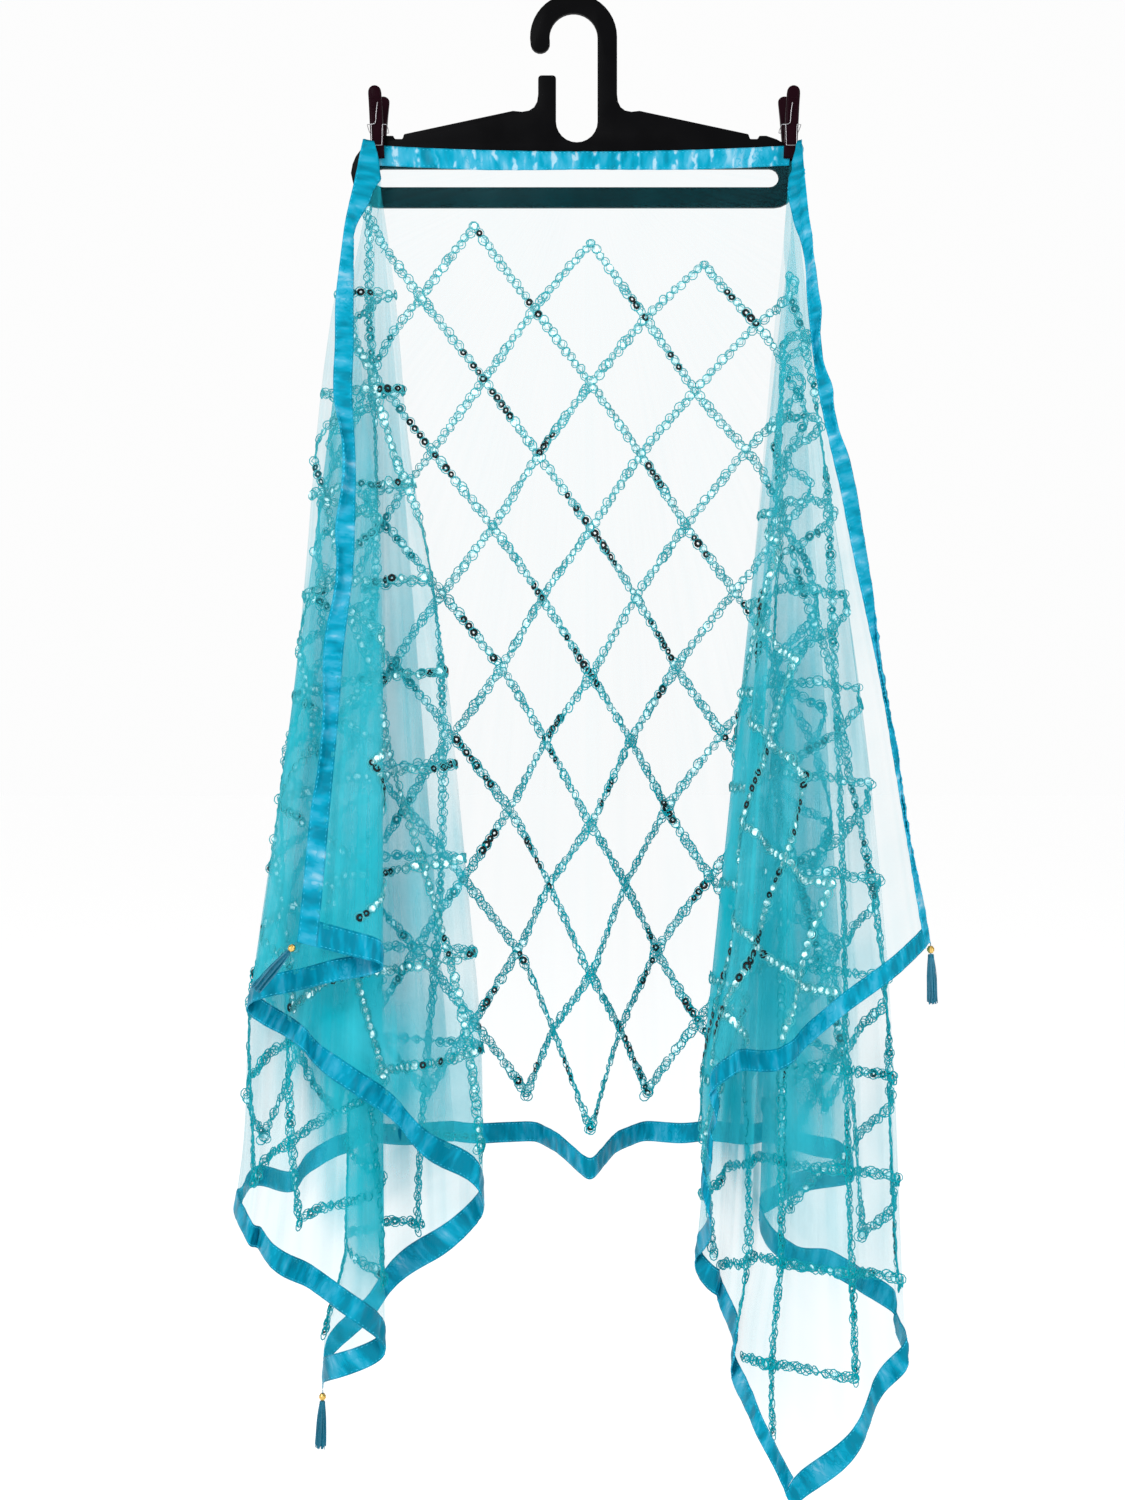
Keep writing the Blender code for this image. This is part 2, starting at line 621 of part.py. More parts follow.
def peg_profile(jaw_y, facing):
    """Side view of a peg half as (y, z). `facing` is -1 for the front half, 1 for the rear."""
    outer = jaw_y + PEG_JAW_THICK
    points = [
        (jaw_y, PEG_TIP_Z),
        (jaw_y + 0.0022, PEG_TIP_Z - 0.0012),
        (jaw_y + 0.0050, PEG_TIP_Z + 0.0005),
        (outer, 0.004),
        (outer + 0.0008, 0.016),
        (PEG_TAIL_OUTER, PEG_TAIL_BEND_Z),
        (PEG_TAIL_END_OUTER, PEG_TAIL_Z - 0.003),
        (PEG_TAIL_END_OUTER - 0.001, PEG_TAIL_Z),
        (PEG_TAIL_END_INNER, PEG_TAIL_Z - 0.001),
        (PEG_TAIL_INNER, PEG_TAIL_BEND_Z),
        (PEG_PIVOT_Y, PEG_PIVOT_HIGH),
        (PEG_PIVOT_Y, PEG_PIVOT_LOW),
        (jaw_y, PEG_JAW_TOP),
    ]
    return [(facing * y, z) for y, z in points]


def build_peg_half(name, peg_x, jaw_y, facing, lean, material):
    profile = peg_profile(jaw_y, facing)
    shape = bmesh.new()
    half = PEG_WIDTH / 2
    left = [shape.verts.new((-half, y, z)) for y, z in profile]
    right = [shape.verts.new((half, y, z)) for y, z in profile]
    shape.faces.new(left)
    shape.faces.new(list(reversed(right)))
    count = len(profile)
    for k in range(count):
        n = (k + 1) % count
        shape.faces.new((left[n], left[k], right[k], right[n]))
    thing = object_from(shape, name, material)
    thing.location = (peg_x, 0.0, LEFT_PEG.z)
    thing.rotation_euler = (0.0, math.radians(lean), 0.0)
    return thing


def build_spring(name, peg_x, material):
    """A wire hoop round both halves at the pivot, with a small square section."""
    half = PEG_WIDTH / 2 + WIRE_CLEAR
    thick = WIRE_RADIUS * 2
    low = WIRE_LEVEL - WIRE_RADIUS
    high = WIRE_LEVEL + WIRE_RADIUS
    corners = [(-half, WIRE_FRONT), (half, WIRE_FRONT), (half, WIRE_REAR), (-half, WIRE_REAR)]
    shape = bmesh.new()
    rings = []
    for x, y in corners:
        far_x = x + math.copysign(thick, x)
        far_y = y + math.copysign(thick, y)
        ring = [(x, y, low), (far_x, far_y, low), (far_x, far_y, high), (x, y, high)]
        rings.append([shape.verts.new(place) for place in ring])
    for k in range(4):
        here, there = rings[k], rings[(k + 1) % 4]
        for e in range(4):
            shape.faces.new((here[e], here[(e + 1) % 4], there[(e + 1) % 4], there[e]))
    thing = object_from(shape, name, material)
    thing.location = (peg_x, 0.0, LEFT_PEG.z)
    return thing


def build_peg(word, peg_x, outward, plastic, wire):
    front_jaw = -LEFT_PEG.y + RIBBON_WALL / 2 + SEAM_GAP
    rear_jaw = HANGER_THICK / 2 + SEAM_GAP
    build_peg_half(f"{word}_peg_front", peg_x, front_jaw, -1, outward * PEG_LEAN_FRONT, plastic)
    build_peg_half(f"{word}_peg_rear", peg_x, rear_jaw, 1, -outward * PEG_LEAN_REAR, plastic)
    build_spring(f"{word}_peg_spring", peg_x, wire)


# ---------------------------------------------------------------- tassels


def build_bead(name, top, rotation, material):
    """A barrel bead with a bore, its axis through the thread."""
    half = BEAD_HEIGHT / 2
    profile = []
    for k in range(-2, 3):
        angle = math.radians(BEAD_ROUND * k / 2)
        radius = max(BEAD_RADIUS * math.cos(angle), BEAD_BORE + BEAD_RIM)
        profile.append((radius, half * math.sin(angle) / math.sin(math.radians(BEAD_ROUND))))
    profile += [(BEAD_BORE, half), (BEAD_BORE, -half)]
    shape = bmesh.new()
    rings = []
    for s in range(BEAD_SIDES):
        angle = 2 * math.pi * s / BEAD_SIDES
        ring = [shape.verts.new((r * math.cos(angle), r * math.sin(angle), z)) for r, z in profile]
        rings.append(ring)
    count = len(profile)
    for s in range(BEAD_SIDES):
        here, there = rings[s], rings[(s + 1) % BEAD_SIDES]
        for k in range(count):
            n = (k + 1) % count
            shape.faces.new((here[k], there[k], there[n], here[n]))
    thing = object_from(shape, name, material, smooth_angle=40)
    thing.rotation_euler = rotation
    thing.location = top + rotation.to_matrix() @ Vector((0, 0, -BEAD_TOP - half))
    return thing


def tassel_head(shape, head_top, head_base):
    """The thread and the head. Returns the cells of the head's underside."""
    size = TASSEL_CELLS
    steps = [TASSEL_HALF * (2 * i / size - 1) for i in range(size + 1)]
    grid = [[shape.verts.new((x, y, head_base)) for y in steps] for x in steps]
    under = []
    for i in range(size):
        for j in range(size):
            corners = (grid[i][j], grid[i][j + 1], grid[i + 1][j + 1], grid[i + 1][j])
            under.append(shape.faces.new(corners))
    rim = [grid[i][0] for i in range(size)] + [grid[size][j] for j in range(size)]
    rim += [grid[i][size] for i in range(size, 0, -1)] + [grid[0][j] for j in range(size, 0, -1)]
    rings = [rim]
    thread_share = THREAD_RADIUS / TASSEL_HALF
    for share, z in ((0.35, head_top), (thread_share, head_top), (thread_share, -THREAD_START)):
        rings.append([shape.verts.new((v.co.x * share, v.co.y * share, z)) for v in rim])
    for lower, upper in zip(rings, rings[1:]):
        for k in range(len(rim)):
            n = (k + 1) % len(rim)
            shape.faces.new((lower[k], lower[n], upper[n], upper[k]))
    shape.faces.new(rings[-1])
    return under


def grow_strand(shape, face, number):
    """Extrude one strand downward from its cell, a little apart from its neighbours."""
    middle = face.calc_center_median()
    spread = Vector((middle.x, middle.y, 0)) * STRAND_SPREAD
    length = TASSEL_LENGTH * (0.90 + 0.10 * math.sin(number * 2.4))
    for step in range(STRAND_STEPS):
        grown = bmesh.ops.extrude_discrete_faces(shape, faces=[face])["faces"][0]
        sway = Vector((math.sin(number * 1.7 + step), math.cos(number * 2.3 + step), 0))
        fall = Vector((0, 0, -length / STRAND_STEPS))
        bmesh.ops.translate(shape, verts=grown.verts, vec=spread + sway * STRAND_DRIFT + fall)
        face = grown


def build_tassel(name, top, rotation, material):
    """A thread, a flat head and strands that grow out of the head's underside."""
    head_top = -BEAD_TOP - BEAD_HEIGHT - SEAM_GAP
    shape = bmesh.new()
    under = tassel_head(shape, head_top, head_top - TASSEL_HEAD_DEPTH)
    shape.normal_update()
    cell = 2 * TASSEL_HALF / TASSEL_CELLS
    bmesh.ops.inset_individual(shape, faces=under, thickness=cell * STRAND_INSET)
    for number, face in enumerate(under):
        grow_strand(shape, face, number)
    thing = object_from(shape, name, material)
    thing.rotation_euler = rotation
    thing.location = top
    return thing


def build_corner(word, place, lean, thread, gold):
    """Hang a bead and tassel from a corner of the cloth, leaning by `lean` degrees."""
    rotation = Matrix.Rotation(math.radians(lean), 3, "Y").to_euler()
    top = Vector(place)
    build_bead(f"{word}_bead", top, rotation, gold)
    build_tassel(f"{word}_tassel", top, rotation, thread)


def main():
    clear_scene()
    cloth = plain_material("organza", (0.10, 0.62, 0.72), 0.6)
    satin = plain_material("satin_ribbon", (0.02, 0.48, 0.72), 0.35)
    black = plain_material("hanger_plastic", (0.010, 0.010, 0.011), 0.35)
    maroon = plain_material("peg_plastic", (0.030, 0.008, 0.012), 0.45)
    wire = plain_material("peg_wire", (0.62, 0.62, 0.62), 0.3, 1.0)
    silk = plain_material("tassel_thread", (0.01, 0.33, 0.50), 0.6)
    gold = plain_material("bead_gold", (0.83, 0.55, 0.12), 0.25, 1.0)

    build_hanger(black)
    build_peg("left", LEFT_PEG.x, -1, maroon, wire)
    build_peg("right", RIGHT_PEG.x, 1, maroon, wire)
    left = Side(LEFT_PEG, -1, LEFT_REACH, LEFT_FOLDS, LEFT_GATHER)
    right = Side(RIGHT_PEG, 1, RIGHT_REACH, RIGHT_FOLDS, RIGHT_GATHER)
    build_back(left, right, cloth, satin)
    build_side(left, "left", LEFT_STRETCHES, cloth, satin)
    build_side(right, "right", RIGHT_STRETCHES, cloth, satin)
    for side, word, upper_lean in ((left, "left", 40.0), (right, "right", -2.0)):
        build_corner(f"{word}_upper", side.point(side.reach, 0.0), upper_lean, silk, gold)
        build_corner(f"{word}_lower", side.point(side.reach, STOLE_WIDTH), 2.0, silk, gold)


main()
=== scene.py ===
"""Dupatta stole on a clip hanger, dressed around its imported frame.

Metres, +Z up, +X to the right seen from the front, the front faces -Y.
"""
import json
import math

import bmesh
import bpy
import numpy as np
from bpy.props import FloatProperty, FloatVectorProperty, IntProperty, PointerProperty
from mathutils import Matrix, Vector

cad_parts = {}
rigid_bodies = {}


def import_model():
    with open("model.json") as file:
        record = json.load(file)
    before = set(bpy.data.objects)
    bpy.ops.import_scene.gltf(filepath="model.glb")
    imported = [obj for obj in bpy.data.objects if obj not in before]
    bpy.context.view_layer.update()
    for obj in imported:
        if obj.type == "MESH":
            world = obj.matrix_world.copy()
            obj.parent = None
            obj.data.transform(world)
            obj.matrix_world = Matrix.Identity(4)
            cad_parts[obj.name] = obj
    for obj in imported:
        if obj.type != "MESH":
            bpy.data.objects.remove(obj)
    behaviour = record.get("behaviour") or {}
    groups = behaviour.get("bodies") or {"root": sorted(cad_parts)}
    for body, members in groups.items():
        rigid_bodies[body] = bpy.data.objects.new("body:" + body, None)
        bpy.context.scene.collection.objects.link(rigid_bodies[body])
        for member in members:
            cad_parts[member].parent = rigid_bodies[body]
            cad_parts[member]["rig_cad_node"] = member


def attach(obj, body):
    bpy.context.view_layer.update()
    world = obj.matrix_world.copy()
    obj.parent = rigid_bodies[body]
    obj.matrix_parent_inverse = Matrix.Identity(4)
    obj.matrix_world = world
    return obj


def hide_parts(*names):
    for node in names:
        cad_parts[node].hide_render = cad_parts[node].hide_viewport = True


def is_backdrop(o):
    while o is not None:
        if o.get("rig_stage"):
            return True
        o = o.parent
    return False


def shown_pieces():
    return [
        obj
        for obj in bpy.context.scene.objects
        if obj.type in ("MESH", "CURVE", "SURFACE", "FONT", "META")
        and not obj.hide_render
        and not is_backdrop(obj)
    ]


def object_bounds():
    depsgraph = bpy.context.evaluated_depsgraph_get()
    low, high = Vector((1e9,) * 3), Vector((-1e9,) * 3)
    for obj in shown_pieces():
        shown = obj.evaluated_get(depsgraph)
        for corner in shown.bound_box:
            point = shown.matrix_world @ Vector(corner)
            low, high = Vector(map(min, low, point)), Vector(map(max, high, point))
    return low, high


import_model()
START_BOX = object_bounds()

bl_info = {
    "name": "Dupatta Stole",
    "version": (1, 0, 0),
    "blender": (4, 5, 0),
    "location": "View3D > Sidebar > Stole",
    "description": "Builds a sheer ribbon-edged stole with sequin lattice on a clip hanger",
    "category": "Object",
}

# The stole laid flat: a rectangle with a satin ribbon all round.
STOLE_WIDTH = 0.915  # the drop from the pegged long edge to the hem
LEFT_REACH = 0.72  # the pegged edge from the left peg to the left end
RIGHT_REACH = 0.82  # the pegged edge from the right peg to the right end
RIBBON = 0.0185  # width of the satin ribbon
RIBBON_WALL = 0.0012
SEAM_GAP = 0.0003

# Where the two pegs hold the upper edge.
LEFT_PEG = Vector((-0.1805, -0.0043, -0.1232))
RIGHT_PEG = Vector((0.1998, -0.0043, -0.1232))
HALF_SPAN = (RIGHT_PEG.x - LEFT_PEG.x) / 2
PEG_CENTRE = (RIGHT_PEG.x + LEFT_PEG.x) / 2
EDGE_SAG = 0.0055  # of the upper edge between the pegs

# Folds of each side. The cloth hangs in rays from its peg: `turn` is a ray's angle on the
# flat cloth in degrees, 0 straight down and 90 along the upper edge. `side` and `front`
# say how far the ray has gone to the right and forward, in metres, one metre below the
# peg. `reach` is the share of the cloth's length left by small ripples, and `belly` how
# far the ray bulges to the right just below the peg.
# Columns: turn, side, front, reach, belly.
LEFT_FOLDS = (
    (0.0, 0.08, 0.038, 1.0, 0.0),
    (5.5, -0.005, 0.005, 1.0, 0.0),
    (10.5, -0.06, 0.055, 1.0, 0.0),
    (14.0, -0.095, 0.018, 1.0, 0.0),
    (17.0, -0.135, 0.008, 0.99, -0.005),
    (20.0, -0.143, 0.06, 0.99, -0.008),
    (23.0, -0.115, 0.1, 0.995, -0.005),
    (27.0, -0.07, 0.122, 1.0, 0.0),
    (30.5, -0.03, 0.108, 0.99, 0.0),
    (33.0, 0.018, 0.118, 0.985, 0.0),
    (34.8, 0.02, 0.088, 0.98, 0.0),
    (37.2, -0.022, 0.068, 0.97, 0.0),
    (39.4, -0.02, 0.038, 0.97, 0.0),
    (41.7, 0.016, 0.034, 0.97, 0.0),
    (43.8, 0.06, 0.048, 0.975, 0.004),
    (46.0, 0.106, 0.07, 0.985, 0.008),
    (49.2, 0.106, 0.138, 0.99, 0.008),
    (51.4, 0.068, 0.16, 1.0, 0.0),
    (54.7, 0.035, 0.14, 1.0, 0.0),
    (58.9, -0.037, 0.15, 1.0, -0.003),
    (62.9, -0.07, 0.142, 1.0, -0.006),
    (68.0, -0.134, 0.145, 1.0, -0.009),
    (71.0, -0.137, 0.185, 1.0, -0.008),
    (76.0, -0.053, 0.2, 1.0, -0.005),
    (80.5, 0.018, 0.206, 1.0, -0.004),
    (83.5, 0.016, 0.23, 1.0, -0.005),
    (90.0, -0.075, 0.232, 1.0, -0.006),
)
RIGHT_FOLDS = (
    (0.0, -0.091, 0.042, 1.0, 0.0),
    (5.5, -0.023, 0.012, 1.0, 0.0),
    (11.0, 0.048, 0.04, 1.0, 0.0),
    (13.5, 0.052, 0.078, 1.0, 0.0),
    (16.0, 0.005, 0.085, 1.0, 0.0),
    (19.0, -0.04, 0.075, 1.0, 0.0),
    (21.5, -0.038, 0.11, 1.0, 0.0),
    (25.0, 0.008, 0.125, 1.0, 0.0),
    (29.0, 0.045, 0.1, 0.99, 0.0),
    (32.5, 0.072, 0.108, 0.975, 0.0),
    (35.5, 0.07, 0.145, 0.97, 0.0),
    (38.5, 0.035, 0.16, 0.975, 0.0),
    (41.9, -0.018, 0.15, 0.98, 0.0),
    (45.5, -0.042, 0.13, 0.98, 0.0),
    (49.0, -0.062, 0.126, 0.99, 0.0),
    (52.2, -0.078, 0.086, 1.0, 0.0),
    (54.8, -0.112, 0.094, 1.0, 0.0),
    (57.5, -0.104, 0.135, 1.0, 0.0),
    (60.5, -0.078, 0.15, 1.0, 0.0),
    (63.0, -0.076, 0.173, 1.0, 0.0),
    (66.0, -0.102, 0.179, 1.0, 0.0),
    (69.5, -0.102, 0.208, 1.0, 0.0),
    (77.5, -0.03, 0.214, 0.99, 0.0),
    (80.5, 0.015, 0.226, 0.96, 0.008),
    (84.5, 0.085, 0.222, 0.93, 0.01),
    (88.0, 0.122, 0.195, 0.91, 0.007),
    (90.0, 0.136, 0.178, 0.9, 0.006),
)
FOLD_SOFTNESS = 1.8  # degrees either side over which a fold is rounded, well below the peg
PEG_SOFTNESS = 7.0  # degrees more right at the peg
PEG_SOFTNESS_DROP = 0.09
BELLY_DROP = 0.12  # the belly is fullest this far below the peg

# Close to the peg the folds merge into a gather of fewer, softer folds. `side` and `front`
# are as above, and `start` is how far forward the ray begins at the peg itself, in metres.
# Columns: turn, side, front, start.
LEFT_GATHER = (
    (0.0, 0.05, 0.004, 0.0),
    (5.0, 0.02, 0.006, 0.0),
    (13.0, -0.03, 0.014, 0.0006),
    (19.0, -0.06, 0.05, 0.004),
    (26.5, -0.026, 0.1, 0.0074),
    (31.0, 0.01, 0.104, 0.008),
    (35.5, 0.03, 0.07, 0.006),
    (39.5, 0.034, 0.056, 0.0042),
    (47.6, 0.09, 0.08, 0.006),
    (56.0, 0.04, 0.14, 0.0125),
    (70.0, -0.06, 0.175, 0.014),
    (82.0, -0.03, 0.215, 0.0165),
    (90.0, -0.045, 0.24, 0.018),
)
RIGHT_GATHER = (
    (0.0, -0.055, 0.004, 0.0),
    (5.0, -0.02, 0.006, 0.0),
    (12.5, 0.03, 0.03, 0.0012),
    (20.0, -0.01, 0.06, 0.0026),
    (33.0, 0.045, 0.09, 0.005),
    (52.0, -0.06, 0.1, 0.0075),
    (61.0, -0.055, 0.14, 0.01),
    (69.0, -0.075, 0.18, 0.0125),
    (90.0, 0.12, 0.225, 0.016),
)
GATHER_SOFTNESS = 5.0  # degrees
GATHER_END = 0.18  # the folds are fully formed this far below the peg
GATHER_SIDE = 0.012  # how far outward its last fold stands at the peg
GATHER_TURN = 60.0  # the upper edge's ribbon narrows to this ray beside the peg

# The back panel at its hem. `across` runs from -1 at the left peg to 1 at the right peg,
# `side` is the hem's place to the right, `front` how far it stands forward, `drop` the
# share by which it hangs lower.
# Columns: across, side, front, drop.
BACK_FOLDS = (
    (-1.0, -0.1093, 0.0348, 0.0),
    (-0.88, -0.09, 0.037, 0.0),
    (-0.72, -0.066, 0.018, 0.0),
    (-0.5, -0.035, 0.0, 0.0),
    (-0.25, -0.015, 0.045, 0.0),
    (0.03, 0.014, 0.1, 0.016),
    (0.33, 0.037, 0.045, 0.0),
    (0.62, 0.064, 0.005, 0.0),
    (0.88, 0.098, 0.04, 0.0),
    (1.0, 0.1167, 0.0384, 0.0),
)
BACK_SOFTNESS = 0.10
BACK_BUILD_UP = 0.65  # how soon the back panel's folds stand forward

# How many stretches the frame divides each side into, each round one fold.
STRETCHES = {"left": 6, "right": 7}

NORMAL_SPREAD = 0.003  # flat cloth over which the way the cloth faces is taken

# Small pleats of each side, on top of its folds. `side` and `front` are as in the folds'
# tables, at the pleat's middle, and it fades in from `start` metres below the peg.
# Columns: turn, half width in degrees, side, front, start.
LEFT_PLEATS = (
    (3.2, 1.56, 0.002, 0.0166, 0.05),
    (6.0, 1.19, -0.0032, -0.0099, 0.18),
    (8.1, 1.54, 0.0019, 0.012, 0.17),
    (11.2, 1.19, -0.0039, -0.0162, 0.07),
    (13.3, 1.41, 0.0038, 0.014, 0.06),
    (15.8, 1.27, -0.002, -0.0164, 0.1),
    (17.9, 1.29, 0.0026, 0.0163, 0.13),
    (20.0, 1.55, -0.002, -0.0141, 0.12),
    (22.5, 1.4, 0.0031, 0.01, 0.11),
    (24.8, 1.06, -0.0009, -0.0165, 0.18),
    (26.6, 1.43, 0.0002, 0.0161, 0.13),
    (29.3, 1.13, -0.0015, -0.0113, 0.2),
    (31.3, 1.27, 0.0038, 0.016, 0.1),
    (33.4, 1.47, -0.0004, -0.0117, 0.18),
    (36.3, 1.1, 0.0003, 0.015, 0.14),
    (38.1, 1.28, -0.0003, -0.0143, 0.12),
    (40.4, 1.01, 0.0026, 0.0115, 0.12),
    (42.1, 1.36, -0.0023, -0.0136, 0.05),
    (44.3, 1.0, 0.0015, 0.0125, 0.06),
    (46.1, 1.27, -0.002, -0.0134, 0.19),
    (48.4, 1.01, 0.0006, 0.0142, 0.09),
    (50.3, 1.28, -0.0015, -0.0146, 0.07),
    (52.4, 1.14, 0.0017, 0.016, 0.17),
    (54.6, 1.36, 0.0, -0.0108, 0.12),
    (57.2, 1.19, 0.0022, 0.0155, 0.09),
    (59.5, 1.34, -0.0021, -0.0137, 0.12),
    (61.5, 1.53, 0.0039, 0.0154, 0.1),
    (64.3, 1.45, -0.0002, -0.015, 0.05),
    (67.2, 1.11, 0.0039, 0.0104, 0.13),
    (69.3, 1.59, -0.0028, -0.0154, 0.1),
    (72.3, 1.2, 0.0037, 0.0149, 0.1),
    (74.6, 0.99, -0.0037, -0.0142, 0.09),
    (76.4, 1.46, 0.0025, 0.0158, 0.11),
    (78.8, 1.19, -0.0011, -0.0124, 0.16),
)
RIGHT_PLEATS = (
    (3.2, 1.52, 0.0011, 0.0134, 0.16),
    (6.0, 1.54, -0.0034, -0.0161, 0.04),
    (8.7, 1.27, 0.0003, 0.0085, 0.17),
    (11.2, 1.46, -0.0013, -0.0143, 0.09),
    (13.9, 1.13, 0.0031, 0.0167, 0.2),
    (16.1, 1.54, -0.0028, -0.0131, 0.19),
    (18.5, 1.19, 0.0024, 0.0124, 0.17),
    (20.4, 0.99, -0.0005, -0.0165, 0.06),
    (22.0, 1.2, 0.0025, 0.015, 0.05),
    (24.4, 1.45, -0.0013, -0.01, 0.14),
    (27.0, 1.12, 0.0007, 0.0148, 0.15),
    (29.1, 1.09, -0.0029, -0.009, 0.04),
    (30.8, 1.46, 0.0022, 0.0136, 0.13),
    (33.5, 1.16, -0.0029, -0.0085, 0.1),
    (35.2, 1.03, 0.0036, 0.0134, 0.17),
    (37.1, 1.32, -0.0032, -0.0136, 0.12),
    (39.5, 1.32, 0.0014, 0.014, 0.11),
    (41.9, 1.27, -0.003, -0.0142, 0.05),
    (44.3, 1.53, 0.0013, 0.0146, 0.18),
    (46.9, 1.03, -0.0029, -0.0155, 0.09),
    (48.6, 1.45, 0.0021, 0.0085, 0.07),
    (50.9, 1.33, -0.0022, -0.0127, 0.09),
    (53.2, 1.28, 0.0023, 0.0132, 0.15),
    (55.7, 1.44, -0.002, -0.0166, 0.06),
    (58.6, 1.28, 0.0019, 0.0155, 0.14),
    (61.0, 1.19, -0.0022, -0.0139, 0.08),
    (63.3, 1.05, 0.0005, 0.0106, 0.17),
    (65.1, 0.97, -0.0008, -0.0132, 0.05),
    (66.7, 1.09, 0.0028, 0.0096, 0.1),
    (68.6, 1.54, -0.0016, -0.0095, 0.11),
    (71.2, 1.32, 0.0005, 0.012, 0.14),
    (73.4, 1.57, -0.0015, -0.0158, 0.09),
    (76.1, 1.41, 0.0022, 0.0162, 0.18),
    (78.4, 1.16, -0.0026, -0.015, 0.06),
)

# Soft bends of each side where its folds curve, and how far they take the cloth.
# Columns: turn, distance from the peg, half width in degrees, half length, right, forward, up.
LEFT_BENDS = (
    (66.0, 0.05, 12.0, 0.05, 0.014, 0.0, 0.0),
    (90.0, 0.12, 14.0, 0.07, -0.004, 0.0, 0.0),
    (90.0, 0.36, 10.0, 0.1, 0.006, 0.0, 0.0),
    (90.6, 0.315, 1.9, 0.05, 0.007, 0.012, 0.0),
    (90.6, 0.42, 1.5, 0.04, 0.004, 0.009, 0.0),
    (90.6, 0.56, 1.2, 0.06, 0.005, 0.01, 0.0),
    (80.0, 0.62, 16.0, 0.33, 0.0185, 0.0, 0.0),
    (78.0, 0.76, 16.0, 0.12, 0.0, 0.0, -0.028),
    (47.5, 0.66, 5.0, 0.3, 0.019, 0.0, 0.0),
    (15.0, 0.95, 5.0, 0.12, 0.004, 0.0, -0.021),
    (21.0, 0.97, 3.5, 0.14, 0.01, 0.0, -0.01),
    (28.5, 1.04, 4.5, 0.11, 0.0, 0.0, 0.013),
    (38.2, 1.16, 2.6, 0.09, -0.018, 0.0, -0.002),
)
RIGHT_BENDS = (
    (72.0, 0.07, 12.0, 0.07, -0.009, 0.0, 0.0),
    (91.0, 0.06, 10.0, 0.06, -0.004, 0.006, 0.0),
    (90.0, 0.17, 12.0, 0.16, -0.01, 0.0, 0.0),
    (90.6, 0.15, 4.0, 0.04, -0.005, 0.009, 0.0),
    (90.6, 0.225, 2.8, 0.035, -0.008, 0.012, 0.0),
    (90.6, 0.3, 2.0, 0.03, -0.005, 0.009, 0.0),
    (90.0, 0.62, 12.0, 0.45, -0.008, 0.0, 0.0),
    (90.6, 0.56, 1.1, 0.07, -0.006, 0.01, 0.0),
    (90.6, 0.7, 1.0, 0.07, -0.005, 0.009, 0.0),
    (84.0, 0.32, 5.0, 0.25, -0.011, 0.0, 0.0),
    (31.0, 0.68, 7.0, 0.36, 0.017, 0.0, 0.0),
    (62.0, 0.93, 3.5, 0.12, -0.022, 0.0, 0.0),
    (55.5, 1.0, 3.0, 0.12, 0.009, 0.0, -0.02),
    (70.0, 0.87, 4.0, 0.1, -0.006, 0.0, 0.016),
    (46.0, 1.13, 3.5, 0.1, -0.012, 0.0, 0.0),
    (22.6, 0.99, 2.5, 0.08, 0.0, 0.0, -0.013),
)

HANGER_THICK = 0.006

# One clothes peg: a front and a rear half about the hanger's arm, and its wire spring.
# Heights are above the cloth's upper edge.
PEG_WIDTH = 0.012
PEG_TIP_Z = -0.012
PEG_TAIL_Z = 0.052
PEG_LEAN_FRONT = 2.5  # degrees outward
PEG_LEAN_REAR = 4.0  # degrees inward
PEG_JAW_TOP = 0.0105
PEG_PIVOT_LOW = 0.0135
PEG_PIVOT_HIGH = 0.020
PEG_PIVOT_Y = 0.00018  # half the gap between the halves where they touch
PEG_TAIL_BEND_Z = 0.034
PEG_TAIL_INNER = 0.0070
PEG_TAIL_OUTER = 0.0135
PEG_TAIL_END_INNER = 0.0125
PEG_TAIL_END_OUTER = 0.0165
PEG_JAW_THICK = 0.0070
WIRE_RADIUS = 0.0008
WIRE_LEVEL = 0.0165
WIRE_FRONT = -0.0134
WIRE_REAR = 0.0115
WIRE_CLEAR = 0.0021  # beside each half, which leans

# Tassels at the four corners, hung by a thread through a gold bead.
THREAD_START = 0.0004  # below the corner
BEAD_TOP = 0.0035  # below the corner
BEAD_RADIUS = 0.0033
BEAD_BORE = 0.0011
BEAD_RIM = 0.0004
BEAD_HEIGHT = 0.0062
BEAD_ROUND = 60  # degrees of its barrel either side of the middle
TASSEL_LENGTH = 0.043

# The camera stands level, this far in front of the hanger.
CAMERA_PLACE = (-0.0102, -1.803, -0.6807)
CAMERA_FIELD = 42.07  # degrees from the top of the picture to the bottom
CAMERA_SENSOR = 36.0  # millimetres
CLEAR_LAYERS = 96  # sheer layers that one ray may pass through
FLOOR_REACH = 30.0
LIGHT_AIM = (0.0, 0.0, -0.65)

# How much darker the satin is painted on each ribbon: painted shade low down, where the end and hem
# ribbons also show the satin's back.
SATIN_SHADE_AND_BACK = {"back_edge": 0.0, "edge": 0.3, "end": 0.9, "hem": 1.0, "back_hem": 1.0}

